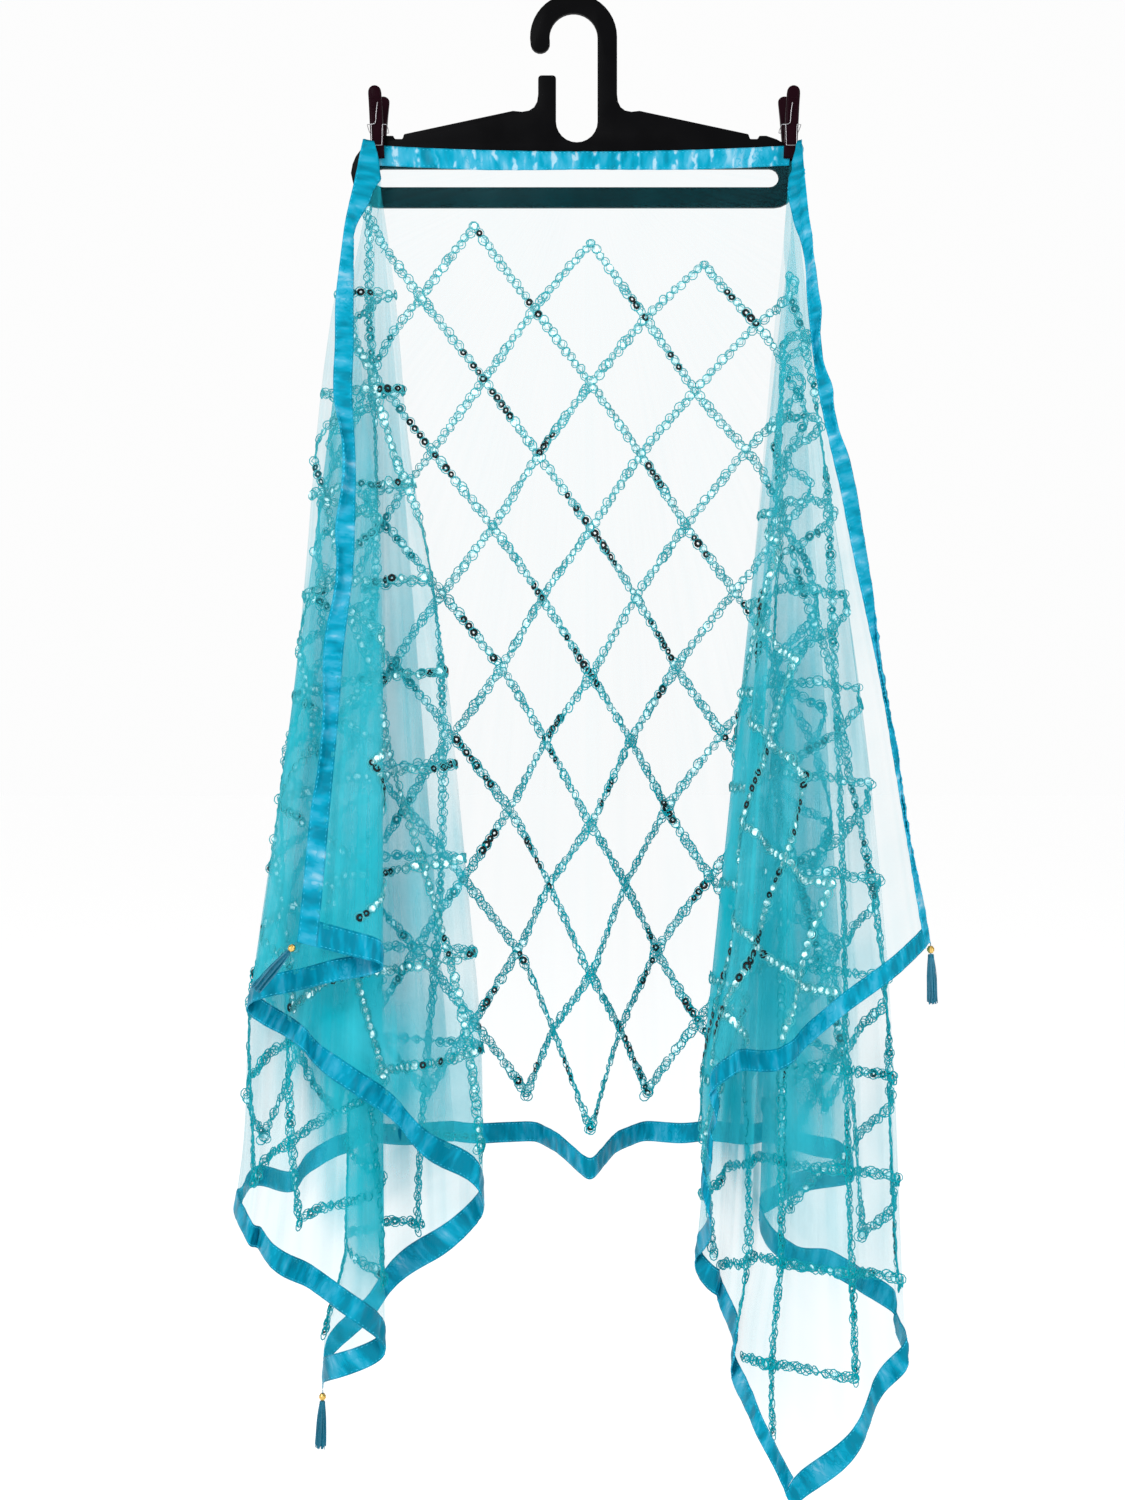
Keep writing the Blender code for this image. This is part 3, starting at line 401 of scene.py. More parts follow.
# How closely the cloth is pleated, patch over patch.
# Columns: first, second, half width, half height, share.
PLEATED = {
    "back": (),
    "left": (
        (0.35, 0.45, 0.6, 0.6, 0.28),
        (0.2, 0.05, 0.24, 0.17, 0.1),
        (0.27, 0.28, 0.12, 0.1, 0.16),
        (0.08, 0.3, 0.07, 0.1, 0.5),
        (0.08, 0.6, 0.12, 0.3, 0.54),
        (0.12, 0.82, 0.06, 0.16, 0.82),
        (0.62, 0.2, 0.18, 0.24, 0.6),
        (0.38, 0.42, 0.1, 0.1, 0.08),
        (0.55, 0.51, 0.07, 0.06, 0.12),
        (0.7, 0.42, 0.07, 0.1, 0.72),
        (0.45, 0.68, 0.22, 0.09, 0.85),
        (0.55, 0.8, 0.1, 0.06, 0.75),
        (0.34, 0.81, 0.1, 0.07, 0.2),
        (0.42, 0.89, 0.1, 0.05, 0.15),
        (0.7, 0.8, 0.06, 0.06, 0.2),
        (0.21, 0.89, 0.05, 0.06, 0.1),
    ),
    "right": (
        (0.4, 0.45, 0.6, 0.6, 0.27),
        (0.15, 0.3, 0.16, 0.16, 0.08),
        (0.62, 0.06, 0.14, 0.07, 0.05),
        (0.58, 0.38, 0.2, 0.22, 0.75),
        (0.64, 0.55, 0.1, 0.12, 0.9),
        (0.4, 0.58, 0.07, 0.1, 0.05),
        (0.48, 0.7, 0.1, 0.06, 0.05),
        (0.63, 0.66, 0.1, 0.05, 0.72),
        (0.04, 0.74, 0.09, 0.22, 0.95),
        (0.29, 0.83, 0.07, 0.12, 0.82),
        (0.17, 0.88, 0.06, 0.06, 0.15),
        (0.5, 0.79, 0.12, 0.08, 0.15),
        (0.7, 0.88, 0.16, 0.1, 0.05),
    ),
}


def softened(where, table, softness):
    """Read a table of folds at `where`, each fold rounded over `softness` either side."""
    knots = table[:, 0]
    values = table[:, 1:]
    total = 0.0
    weight_sum = 0.0
    for offset in np.linspace(-1.0, 1.0, 9):
        weight = math.cos(offset * 0.45 * math.pi) ** 2
        spot = where + offset * softness
        below = spot < knots[0]
        above = spot > knots[-1]
        mirrored = np.where(above, 2 * knots[-1] - spot, spot)
        mirrored = np.where(below, 2 * knots[0] - spot, mirrored)
        columns = [np.interp(mirrored, knots, values[:, k]) for k in range(values.shape[1])]
        read = np.stack(columns, axis=-1)
        read = np.where(below[..., None], 2 * values[0] - read, read)
        read = np.where(above[..., None], 2 * values[-1] - read, read)
        total = total + weight * read
        weight_sum += weight
    return total / weight_sum


OVAL_EDGE = 1.4  # where a soft oval has faded out, in its own half widths


def smoothstep(value):
    clipped = np.clip(value, 0.0, 1.0)
    return clipped * clipped * (3.0 - 2.0 * clipped)


class Side:
    """The cloth beyond one peg: (out, down) on the flat cloth becomes a point in space."""

    def __init__(self, peg, outward, reach, folds, gather, pleats, bends):
        self.peg = np.array(peg)
        self.outward = outward
        self.reach = reach
        self.folds = np.array(folds)
        self.gather = np.array(gather)
        self.pleats = pleats
        self.bends = bends

    def point(self, out, down):
        out = np.asarray(out, float)
        down = np.asarray(down, float)
        length = np.hypot(out, down)
        turn = np.degrees(np.arctan2(out, np.maximum(down, 1e-9)))
        softness = FOLD_SOFTNESS + PEG_SOFTNESS * np.exp(-length / PEG_SOFTNESS_DROP)
        fold = softened(turn, self.folds, softness)
        gather = softened(turn, self.gather, GATHER_SOFTNESS)
        for middle, wide, side, front, start in self.pleats:
            share = np.exp(-((turn - middle) / wide) ** 2) * smoothstep((length - start) / 0.25)
            fold[..., 0] += side * share
            fold[..., 1] += front * share
        formed = smoothstep(length / GATHER_END)
        side = gather[..., 0] + (fold[..., 0] - gather[..., 0]) * formed
        front = gather[..., 1] + (fold[..., 1] - gather[..., 1]) * formed
        ray = np.stack([side, -front, -np.ones_like(length)], axis=-1)
        ray /= np.linalg.norm(ray, axis=-1, keepdims=True)
        belly = fold[..., 3] * (length / BELLY_DROP) * np.exp(1.0 - length / BELLY_DROP)
        share = np.clip(turn / 90.0, 0.0, 1.0)
        start_side = self.outward * GATHER_SIDE * share ** 1.6
        start = np.stack([belly + start_side, -gather[..., 2], np.zeros_like(length)], axis=-1)
        place = self.peg + start + ray * (length * fold[..., 2])[..., None]
        for middle, far, wide, long, side, front, rise in self.bends:
            distance = np.hypot((turn - middle) / wide, (length - far) / long)
            share = smoothstep(OVAL_EDGE - distance)
            place = place + share[..., None] * np.array((side, -front, rise))
        return place


def free_back_point(across, down):
    """The panel between the pegs, before its edges are brought to the rays below the pegs."""
    share = across / HALF_SPAN
    hem = softened(np.clip(share, -1.0, 1.0), np.array(BACK_FOLDS), BACK_SOFTNESS)
    fall = np.maximum(down, 0.0) / STOLE_WIDTH
    x = (1.0 - fall) * (PEG_CENTRE + across) + fall * hem[..., 0]
    build_up = BACK_BUILD_UP + (1.0 - BACK_BUILD_UP) * np.abs(share) ** 3
    y = LEFT_PEG.y - hem[..., 1] * fall ** build_up
    z = LEFT_PEG.z - EDGE_SAG * (1.0 - share ** 2) - down * (1.0 + hem[..., 2])
    return np.stack([x, y, z], axis=-1)


def back_surface(left, right):
    """The surface of the back panel, its two edges shared with the sides."""
    def point(across, down):
        across = np.asarray(across, float)
        down = np.asarray(down, float)
        share = np.clip((across / HALF_SPAN + 1.0) / 2.0, 0.0, 1.0)[..., None]
        ends = np.full_like(down, HALF_SPAN)
        to_left = left.point(np.zeros_like(down), down) - free_back_point(-ends, down)
        to_right = right.point(np.zeros_like(down), down) - free_back_point(ends, down)
        return free_back_point(across, down) + to_left * (1.0 - share) ** 4 + to_right * share ** 4

    return point


# ---------------------------------------------------------------- the flat stole

# How far each sheet reaches along the upper edge from its peg, or from the middle.
REACHES = {"back": HALF_SPAN, "left": LEFT_REACH, "right": RIGHT_REACH}
SHEETS = tuple(REACHES)
BACK_RIBBONS = ("back_edge", "back_hem")
SIDE_RIBBONS = ("edge", "end", "hem")
LAP = 0.004  # how far the organza runs in under its ribbon

# The lattice on the flat cloth. Rows are half cells, the first at the upper peaks.
FIRST_ROW = 0.088
LAST_ROW = STOLE_WIDTH - 0.045
HALF_ROWS = 12
PEAK_SHIFT = 0.0065  # of the peaks from the middle between the pegs
ROW_SLOPES = (0.16, 0.08, 0.05, 0.0)  # how the first rows fall to the right at the back


def sides():
    left = Side(LEFT_PEG, -1, LEFT_REACH, LEFT_FOLDS, LEFT_GATHER, LEFT_PLEATS, LEFT_BENDS)
    right = Side(RIGHT_PEG, 1, RIGHT_REACH, RIGHT_FOLDS, RIGHT_GATHER, RIGHT_PLEATS, RIGHT_BENDS)
    return left, right


def surfaces():
    """The three draped surfaces, each of its own flat places."""
    left, right = sides()
    return {"back": back_surface(left, right), "left": left.point, "right": right.point}


def unit(vectors):
    return vectors / np.maximum(np.linalg.norm(vectors, axis=-1, keepdims=True), 1e-12)


def facing_of(surface, first, second, forward, nudge=NORMAL_SPREAD):
    """The direction in which the stole's right side faces at these flat places."""
    along = surface(first + nudge, second) - surface(first - nudge, second)
    down = surface(first, second + nudge) - surface(first, second - nudge)
    return unit(np.cross(down, along)) * forward


def turned_away(points, facing):
    """Whether a grid of points has to be wound the other way to face `facing`."""
    down = points[1:, :-1] - points[:-1, :-1]
    along = points[:-1, 1:] - points[:-1, :-1]
    return np.mean(np.sum(np.cross(down, along) * facing[:-1, :-1], axis=-1)) < 0


FORWARD = {"back": 1.0, "left": -1.0, "right": 1.0}


# ---------------------------------------------------------------- meshes


def link_object(name, mesh, material):
    thing = bpy.data.objects.new(name, mesh)
    bpy.context.scene.collection.objects.link(thing)
    if material is not None:
        mesh.materials.clear()
        mesh.materials.append(material)
    return thing


def mesh_of(shape, name):
    """The finished shape as a mesh."""
    mesh = bpy.data.meshes.new(name)
    shape.to_mesh(mesh)
    shape.free()
    return mesh


def grid_faces(rows, columns, flip):
    index = np.arange(rows * columns).reshape(rows, columns)
    corners = (index[:-1, :-1], index[1:, :-1], index[1:, 1:], index[:-1, 1:])
    if flip:
        corners = corners[::-1]
    return np.stack([c.ravel() for c in corners], axis=-1)


def mesh_from(name, points, faces, edges=()):
    mesh = bpy.data.meshes.new(name)
    mesh.from_pydata(*([tuple(row) for row in rows] for rows in (points, edges, faces)))
    mesh.update()
    return mesh


def write_uv(mesh, per_vertex):
    layer = mesh.uv_layers.new(name="flat")
    corner = np.empty(len(mesh.loops), int)
    mesh.loops.foreach_get("vertex_index", corner)
    layer.data.foreach_set("uv", per_vertex[corner].astype(np.float32).ravel())


def write_attribute(mesh, name, kind, values):
    field = "vector" if kind == "FLOAT_VECTOR" else "value"
    mesh.attributes.new(name, kind, "POINT").data.foreach_set(field, np.asarray(values).ravel())


def settled(thing):
    """The object with its modifiers applied, as a plain mesh."""
    bpy.context.view_layer.update()
    graph = bpy.context.evaluated_depsgraph_get()
    result = bpy.data.meshes.new_from_object(thing.evaluated_get(graph))
    spare = thing.data
    thing.modifiers.clear()
    thing.data = result
    result.name = thing.name
    if spare.users == 0:
        bpy.data.meshes.remove(spare)
    return thing


def finish_piece(thing, nodes=()):
    """Give a finished piece to the frame."""
    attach(thing, "root")
    if nodes:
        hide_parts(*nodes)
    return thing


# ---------------------------------------------------------------- node trees


def new_node(tree, kind, **settings):
    node = tree.nodes.new(kind)
    for name, value in settings.items():
        setattr(node, name, value)
    return node


def feed(node, *first, **others):
    """Wire or set a node's first inputs in order, and others by name with _ for a space."""
    pairs = list(zip(node.inputs, first))
    pairs += [(node.inputs[name.replace("_", " ")], value) for name, value in others.items()]
    for socket, value in pairs:
        if isinstance(value, bpy.types.NodeSocket):
            node.id_data.links.new(value, socket)
        else:
            socket.default_value = value
    return node


def new_material(name, colour, **inputs):
    """A material with its tree and its shader, whose inputs are set by name."""
    material = bpy.data.materials.new(name)
    material.use_nodes = True
    material.diffuse_color = (*colour, 1.0)
    shader = material.node_tree.nodes["Principled BSDF"]
    feed(shader, Base_Color=(*colour, 1.0), **inputs)
    return material, material.node_tree, shader


def scaled_place(tree, source, scale=(1.0, 1.0, 1.0)):
    """The object's own place or its flat UV, scaled."""
    place = new_node(tree, "ShaderNodeTexCoord").outputs[source]
    return feed(new_node(tree, "ShaderNodeMapping"), Vector=place, Scale=scale).outputs["Vector"]


def noise(tree, place, scale, detail=2.0):
    texture = new_node(tree, "ShaderNodeTexNoise")
    return feed(texture, Vector=place, Scale=scale, Detail=detail).outputs["Fac"]


def threads(tree, place, direction, pitch):
    """Fine parallel threads, `pitch` metres apart."""
    wave = new_node(tree, "ShaderNodeTexWave", wave_type="BANDS", bands_direction=direction)
    feed(wave, Vector=place, Scale=2 * math.pi / pitch / 20, Distortion=0.4, Detail=0.0)
    return wave.outputs["Fac"]


def ramp(tree, factor, *stops):
    node = feed(new_node(tree, "ShaderNodeValToRGB"), Fac=factor)
    band = node.color_ramp
    while len(band.elements) < len(stops):
        band.elements.new(0.5)
    for element, (position, colour) in zip(band.elements, stops):
        element.position = position
        element.color = (*colour, 1.0)
    return node.outputs["Color"]


def combined(tree, operation, first, second=0.0):
    return feed(new_node(tree, "ShaderNodeMath", operation=operation), first, second).outputs[0]


def remapped(tree, value, low, high, low_out, high_out):
    node = new_node(tree, "ShaderNodeMapRange")
    return feed(node, value, low, high, low_out, high_out).outputs["Result"]


def split(tree, vector):
    return feed(new_node(tree, "ShaderNodeSeparateXYZ"), vector).outputs


def bumped(tree, shader, height, distance, strength):
    node = new_node(tree, "ShaderNodeBump")
    feed(node, Height=height, Distance=distance, Strength=strength)
    feed(shader, Normal=node.outputs["Normal"])


def attribute(tree, name):
    return new_node(tree, "ShaderNodeAttribute", attribute_name=name).outputs["Fac"]


def tinted(colour, share):
    """The colour brought towards white by `share`, or towards black where it is negative."""
    target = 1.0 if share > 0 else 0.0
    return tuple(c + (target - c) * abs(share) for c in colour)


# ---------------------------------------------------------------- materials


ORGANZA_PITCH = 0.0011  # from one thread of the weave to the next
SATIN_PITCH = 0.0009


def organza_material(settings):
    """Sheer woven organza. The gathered attribute says how closely it is pleated together."""
    colour = tuple(settings.colour)
    # It glows in its own tone: painted light standing in for light passing through the cloth, which
    # also evens out the shading of layers behind layers.
    material, tree, shader = new_material(
        "organza_sheer", colour, Roughness=0.45, Specular_IOR_Level=0.02, Emission_Strength=0.42,
    )
    flat = scaled_place(tree, "UV")
    drift = noise(tree, flat, 9.0, 3.0)
    tone = ramp(tree, drift, (0.3, tinted(colour, -0.10)), (0.7, tinted(colour, 0.05)))
    warp, weft = (threads(tree, flat, way, ORGANZA_PITCH) for way in "XY")
    bumped(tree, shader, combined(tree, "ADD", warp, weft), 0.0002, 0.5)
    clouds = noise(tree, scaled_place(tree, "UV", (1.0, 0.22, 1.0)), 26.0, 3.0)
    cover = remapped(tree, clouds, 0.32, 0.68, 0.80, 1.24)
    # Fine creases: streaks that run out from the peg.
    spot = split(tree, flat)
    streak = new_node(tree, "ShaderNodeTexNoise", noise_dimensions="1D")
    feed(streak, W=combined(tree, "ARCTAN2", spot[0], spot[1]), Scale=52.0, Detail=4.0)
    crease = remapped(tree, streak.outputs["Fac"], 0.36, 0.64, 0.82, 1.18)
    cover = combined(tree, "MULTIPLY", cover, crease)
    alpha = combined(tree, "MULTIPLY", attribute(tree, "gathered"), cover)
    feed(shader, Base_Color=tone, Emission_Color=tone, Alpha=alpha)
    return material


def satin_material(settings):
    """Satin ribbon: a bright face with soft bars of painted shade and highlight where it is
    puckered.
    """
    colour = tuple(settings.colour)
    material, tree, shader = new_material(
        "satin_ribbon_face", colour, Roughness=0.30, Anisotropic=0.5, Specular_IOR_Level=0.05,
    )
    # Bars and patches of noise paint the shade and highlight of the puckers.
    flat = scaled_place(tree, "UV", (1.0, 0.35, 1.0))
    bars = noise(tree, flat, 85.0, 2.5)
    patches = noise(tree, flat, 11.0, 1.0)
    mixed = combined(tree, "ADD", bars, combined(tree, "MULTIPLY", patches, 0.7))
    shade = combined(tree, "MULTIPLY", mixed, 0.59)
    # Painted shade: the deep attribute darkens the lower ribbons.
    deep = attribute(tree, "deep")
    shade = combined(tree, "SUBTRACT", shade, combined(tree, "MULTIPLY", deep, 0.07))
    # Creases: thin lines of painted shade where a fine noise passes its middle, deepest in some
    # patches.
    fine = noise(tree, scaled_place(tree, "UV", (1.0, 0.6, 1.0)), 160.0, 1.5)
    off = combined(tree, "ABSOLUTE", combined(tree, "SUBTRACT", fine, 0.5))
    crease = remapped(tree, off, 0.0, 0.025, 1.0, 0.0)
    crushed_shade = remapped(tree, patches, 0.45, 0.62, 0.0, 0.07)
    shade = combined(tree, "SUBTRACT", shade, combined(tree, "MULTIPLY", crease, crushed_shade))
    # Painted glints at the gathers, about one to every width of ribbon, dimmer where the ribbon is
    # painted deeper.
    way = split(tree, scaled_place(tree, "UV", (2 * math.pi / RIBBON, 1.0, 1.0)))[0]
    wander = combined(tree, "MULTIPLY", patches, 9.0)
    wave = combined(tree, "SINE", combined(tree, "ADD", way, wander))
    gather = remapped(tree, wave, 0.35, 0.95, 0.0, 0.20)
    glint = combined(tree, "MULTIPLY", gather, remapped(tree, fine, 0.46, 0.60, 0.0, 1.0))
    plain = remapped(tree, deep, 0.0, 0.3, 1.0, 0.25)
    shade = combined(tree, "ADD", shade, combined(tree, "MULTIPLY", glint, plain))
    # The ramp turns the shade into the satin's colour, darker for painted shade and paler for
    # painted highlights.
    stops = ((0.38, -0.42), (0.47, -0.12), (0.56, 0.04), (0.68, 0.34))
    tone = ramp(tree, shade, *((position, tinted(colour, tint)) for position, tint in stops))
    weave = threads(tree, scaled_place(tree, "UV"), "DIAGONAL", SATIN_PITCH)
    bumped(tree, shader, weave, 0.0001, 0.35)
    feed(shader, Base_Color=tone, Roughness=remapped(tree, weave, 0.0, 1.0, 0.26, 0.38))
    return material


def thread_material(name, pale, deep, roughness):
    """Lustrous embroidery or tassel thread, deeper where the tone attribute is high."""
    # It glows in its own tone: painted light that keeps threads behind sheer layers bright.
    material, tree, shader = new_material(
        name, pale, Roughness=roughness, Specular_IOR_Level=0.01, Emission_Strength=0.22,
    )
    place = scaled_place(tree, "Object")
    speck = remapped(tree, noise(tree, place, 700.0), 0.3, 0.7, -0.22, 0.22)
    tone = combined(tree, "ADD", attribute(tree, "tone"), speck)
    shade = ramp(tree, tone, (0.0, pale), (1.0, deep))
    feed(shader, Base_Color=shade, Emission_Color=shade)
    bumped(tree, shader, noise(tree, place, 2600.0, 1.0), 0.0002, 0.5)
    return material


def sequin_material(name, colour, spread, specular, alpha, glow):
    """A sequin; from one to the next its tone, how much it hides and its painted white glow vary.
    """
    material, tree, shader = new_material(
        name, colour, Roughness=0.12, Alpha=alpha[1], Specular_IOR_Level=specular,
        Emission_Color=(0.82, 1.0, 1.0, 1.0),
    )
    drift = noise(tree, scaled_place(tree, "Object"), 170.0, 1.0)
    tints = (0.35, tinted(colour, -spread)), (0.5, colour), (0.65, tinted(colour, spread))
    # Painted glints: some sequins glow white at random, up to glow.
    glint = remapped(tree, drift, 0.5, 0.68, 0.0, glow)
    feed(shader, Base_Color=ramp(tree, drift, *tints), Emission_Strength=glint)
    if alpha[0] < alpha[1]:
        feed(shader, Alpha=remapped(tree, drift, 0.38, 0.62, *alpha))
    return material


def plastic_material(name, colour, roughness, grain):
    """Moulded plastic with a fine grain and slightly uneven gloss."""
    material, tree, shader = new_material(name, colour, Specular_IOR_Level=0.03)
    place = scaled_place(tree, "Object")
    patches = noise(tree, place, 35.0, 4.0)
    tone = ramp(tree, patches, (0.35, tinted(colour, -0.2)), (0.7, colour))
    gloss = remapped(tree, patches, 0.3, 0.7, roughness - 0.07, roughness + 0.08)
    feed(shader, Base_Color=tone, Roughness=gloss)
    bumped(tree, shader, noise(tree, place, grain), 0.0002, 0.25)
    return material


def metal_material(name, colour, roughness):
    material, tree, shader = new_material(name, colour, Metallic=1.0)
    wear = noise(tree, scaled_place(tree, "Object"), 420.0, 3.0)
    tone = ramp(tree, wear, (0.3, tinted(colour, -0.25)), (0.65, tinted(colour, 0.1)))
    gloss = remapped(tree, wear, 0.3, 0.7, roughness - 0.06, roughness + 0.12)
    feed(shader, Base_Color=tone, Roughness=gloss)
    bumped(tree, shader, wear, 0.0002, 0.2)
    return material


# ---------------------------------------------------------------- geometry node trees


def new_geometry_tree(name, sizes, counts=()):
    """A tree with a geometry and a material input, named sizes in metres and whole numbers."""
    tree = bpy.data.node_groups.new(name, "GeometryNodeTree")
    tree.is_modifier = True
    kinds = {"Geometry": "Geometry", **dict.fromkeys(sizes, "Float")}
    kinds.update(dict.fromkeys(counts, "Int"), Material="Material")
    for label, kind in kinds.items():
        tree.interface.new_socket(label, in_out="INPUT", socket_type=f"NodeSocket{kind}")
    tree.interface.new_socket("Geometry", in_out="OUTPUT", socket_type="NodeSocketGeometry")
    return tree, new_node(tree, "NodeGroupInput").outputs


def end_tree(tree, given, geometry):
    """Realise the instances, set the material and close the tree."""
    realised = feed(new_node(tree, "GeometryNodeRealizeInstances"), Geometry=geometry)
    painted = new_node(tree, "GeometryNodeSetMaterial")
    feed(painted, Geometry=realised.outputs["Geometry"], Material=given["Material"])
    feed(new_node(tree, "NodeGroupOutput"), Geometry=painted.outputs["Geometry"])
    return tree


def ring_curve(tree, corners, radius):
    node = new_node(tree, "GeometryNodeCurvePrimitiveCircle", mode="RADIUS")
    return feed(node, Resolution=corners, Radius=radius).outputs["Curve"]


def lines_of(tree, given):
    return feed(new_node(tree, "GeometryNodeMeshToCurve"), Mesh=given["Geometry"]).outputs["Curve"]


def swept(tree, curve, profile, caps=False):
    node = new_node(tree, "GeometryNodeCurveToMesh")
    return feed(node, Curve=curve, Profile_Curve=profile, Fill_Caps=caps).outputs["Mesh"]


def scaled_geometry(tree, geometry, *scale):
    vector = feed(new_node(tree, "ShaderNodeCombineXYZ"), *scale).outputs[0]
    node = new_node(tree, "GeometryNodeTransform")
    return feed(node, Geometry=geometry, Scale=vector).outputs["Geometry"]


def named(tree, name, kind):
    node = new_node(tree, "GeometryNodeInputNamedAttribute", data_type=kind)
    return feed(node, Name=name).outputs["Attribute"]


def placed(tree, given, piece, selection=None):
    """Set a piece on each given point, flat on the cloth, along its line, tilted a little."""
    align = "FunctionNodeAlignRotationToVector"
    up = new_node(tree, align, axis="Z", pivot_axis="AUTO")
    feed(up, Vector=named(tree, "facing", "FLOAT_VECTOR"))
    along = new_node(tree, align, axis="X", pivot_axis="Z")
    feed(along, Rotation=up.outputs["Rotation"], Vector=named(tree, "along", "FLOAT_VECTOR"))
    tilt = new_node(tree, "FunctionNodeRandomValue", data_type="FLOAT_VECTOR")
    least = combined(tree, "MULTIPLY", given["Tilt"], -1.0)
    feed(tilt, Min=least, Max=given["Tilt"], Seed=given["Seed"])
    turn = feed(new_node(tree, "FunctionNodeEulerToRotation"), Euler=tilt.outputs["Value"])
    turned = new_node(tree, "FunctionNodeRotateRotation", rotation_space="LOCAL")
    feed(turned, Rotation=along.outputs["Rotation"], Rotate_By=turn.outputs["Rotation"])
    node = new_node(tree, "GeometryNodeInstanceOnPoints")
    feed(node, Points=given["Geometry"], Instance=piece, Rotation=turned.outputs["Rotation"])
    feed(node, Scale=named(tree, "grow", "FLOAT"))
    if selection is not None:
        feed(node, Selection=named(tree, selection, "BOOLEAN"))
    return node.outputs["Instances"]


def chain_tree():
    """Thread loops on the marked points, and one thread running through them all."""
    sizes = ("Loop Length", "Loop Width", "Thread Radius", "Tilt")
    tree, given = new_geometry_tree("lattice_chain", sizes, ("Seed",))
    profile = ring_curve(tree, 3, given["Thread Radius"])
    shape = (given["Loop Length"], given["Loop Width"], 1.0)
    ring = scaled_geometry(tree, ring_curve(tree, 9, 0.5), *shape)
    loops = placed(tree, given, swept(tree, ring, profile), "station")
    joined = new_node(tree, "GeometryNodeJoinGeometry")
    for part in (loops, swept(tree, lines_of(tree, given), profile)):
        feed(joined, Geometry=part)
    return end_tree(tree, given, joined.outputs["Geometry"])


def sequin_tree():
    """A small closed disc, domed like a pressed sequin, on every point."""
    tree, given = new_geometry_tree("lattice_sequins", ("Radius", "Dome", "Tilt"), ("Seed",))
    disc = new_node(tree, "GeometryNodeMeshCone", fill_type="NGON")
    top = combined(tree, "MULTIPLY", given["Radius"], 0.45)
    feed(disc, Vertices=8, Side_Segments=1, Radius_Top=top, Depth=given["Dome"])
    feed(disc, Radius_Bottom=given["Radius"])
    return end_tree(tree, given, placed(tree, given, disc.outputs["Mesh"]))


def holed_sequin_tree():
    """A flat ring with a hole for the thread on every point."""
    tree, given = new_geometry_tree("holed_sequins", ("Radius", "Tilt"), ("Seed",))
    middle = ring_curve(tree, 9, combined(tree, "MULTIPLY", given["Radius"], 0.68))
    rim = ring_curve(tree, 4, combined(tree, "MULTIPLY", given["Radius"], 0.34))
    flat = scaled_geometry(tree, swept(tree, middle, rim), 1.0, 1.0, 0.3)
    return end_tree(tree, given, placed(tree, given, flat))


def stitch_tree():
    """A small rounded stitch on every point."""
    sizes = ("Length", "Width", "Depth", "Tilt")
    tree, given = new_geometry_tree("ribbon_stitches", sizes, ("Seed",))
    grain = feed(new_node(tree, "GeometryNodeMeshIcoSphere"), Radius=0.5, Subdivisions=1)
    shaped = scaled_geometry(tree, grain.outputs["Mesh"], *(given[size] for size in sizes[:3]))
    return end_tree(tree, given, placed(tree, given, shaped))


def tube_tree():
    """A round tube along every line of the mesh."""
    tree, given = new_geometry_tree("threads_and_wires", ("Radius",), ("Sides",))
    profile = ring_curve(tree, given["Sides"], given["Radius"])
    return end_tree(tree, given, swept(tree, lines_of(tree, given), profile, caps=True))


def grown(name, mesh, tree, **values):
    """A plain mesh object grown from a mesh by a tree, its inputs set with _ for a space."""
    thing = link_object(name, mesh, None)
    modifier = thing.modifiers.new("nodes", "NODES")
    modifier.node_group = tree
    for item in tree.interface.items_tree:
        word = item.name.replace(" ", "_")
        if item.in_out == "INPUT" and word in values:
            modifier[item.identifier] = values[word]
    return settled(thing)


# ---------------------------------------------------------------- settings


def number_setting(name, description, default, low=0.0, **more):
    return FloatProperty(name=name, description=description, default=default, min=low, **more)


def length_setting(name, description, default, low=0.0):
    return number_setting(name, description, default, low, unit="LENGTH", precision=4)


def share_setting(name, description, default):
    return number_setting(name, description, default, max=1.0, subtype="FACTOR")


def colour_setting(name, description, default):
    return FloatVectorProperty(
        name=name, description=description, default=default, subtype="COLOR", size=3,
        min=0.0, max=1.0,
    )


class OrganzaSettings(bpy.types.PropertyGroup):
    colour: colour_setting("Colour", "Colour of the organza", (0.0, 0.35, 0.43))
    sheer: share_setting("Single Layer", "How much one flat layer hides", 0.05)
    pleated: share_setting("Pleated Layer", "How much closely pleated cloth hides", 0.97)
    column_turn: number_setting(
        "Column Turn", "Turn between the columns of a side", math.radians(0.4),
        math.radians(0.1), subtype="ANGLE",
    )
    row_length: length_setting("Row Length", "Flat cloth between two rows", 0.0072, 0.002)


class RibbonSettings(bpy.types.PropertyGroup):
    colour: colour_setting("Colour", "Colour of the satin ribbon", (0.001, 0.34, 0.52))
    thickness: length_setting("Thickness", "Thickness of the folded ribbon", 0.0010, 0.0002)
    pucker: length_setting("Pucker", "Height of the deepest pucker", 0.0011)
    stitch_length: length_setting("Stitch Length", "Length of one stitch", 0.0027, 0.0005)
    stitch_pitch: length_setting("Stitch Pitch", "From one stitch to the next", 0.0042, 0.001)


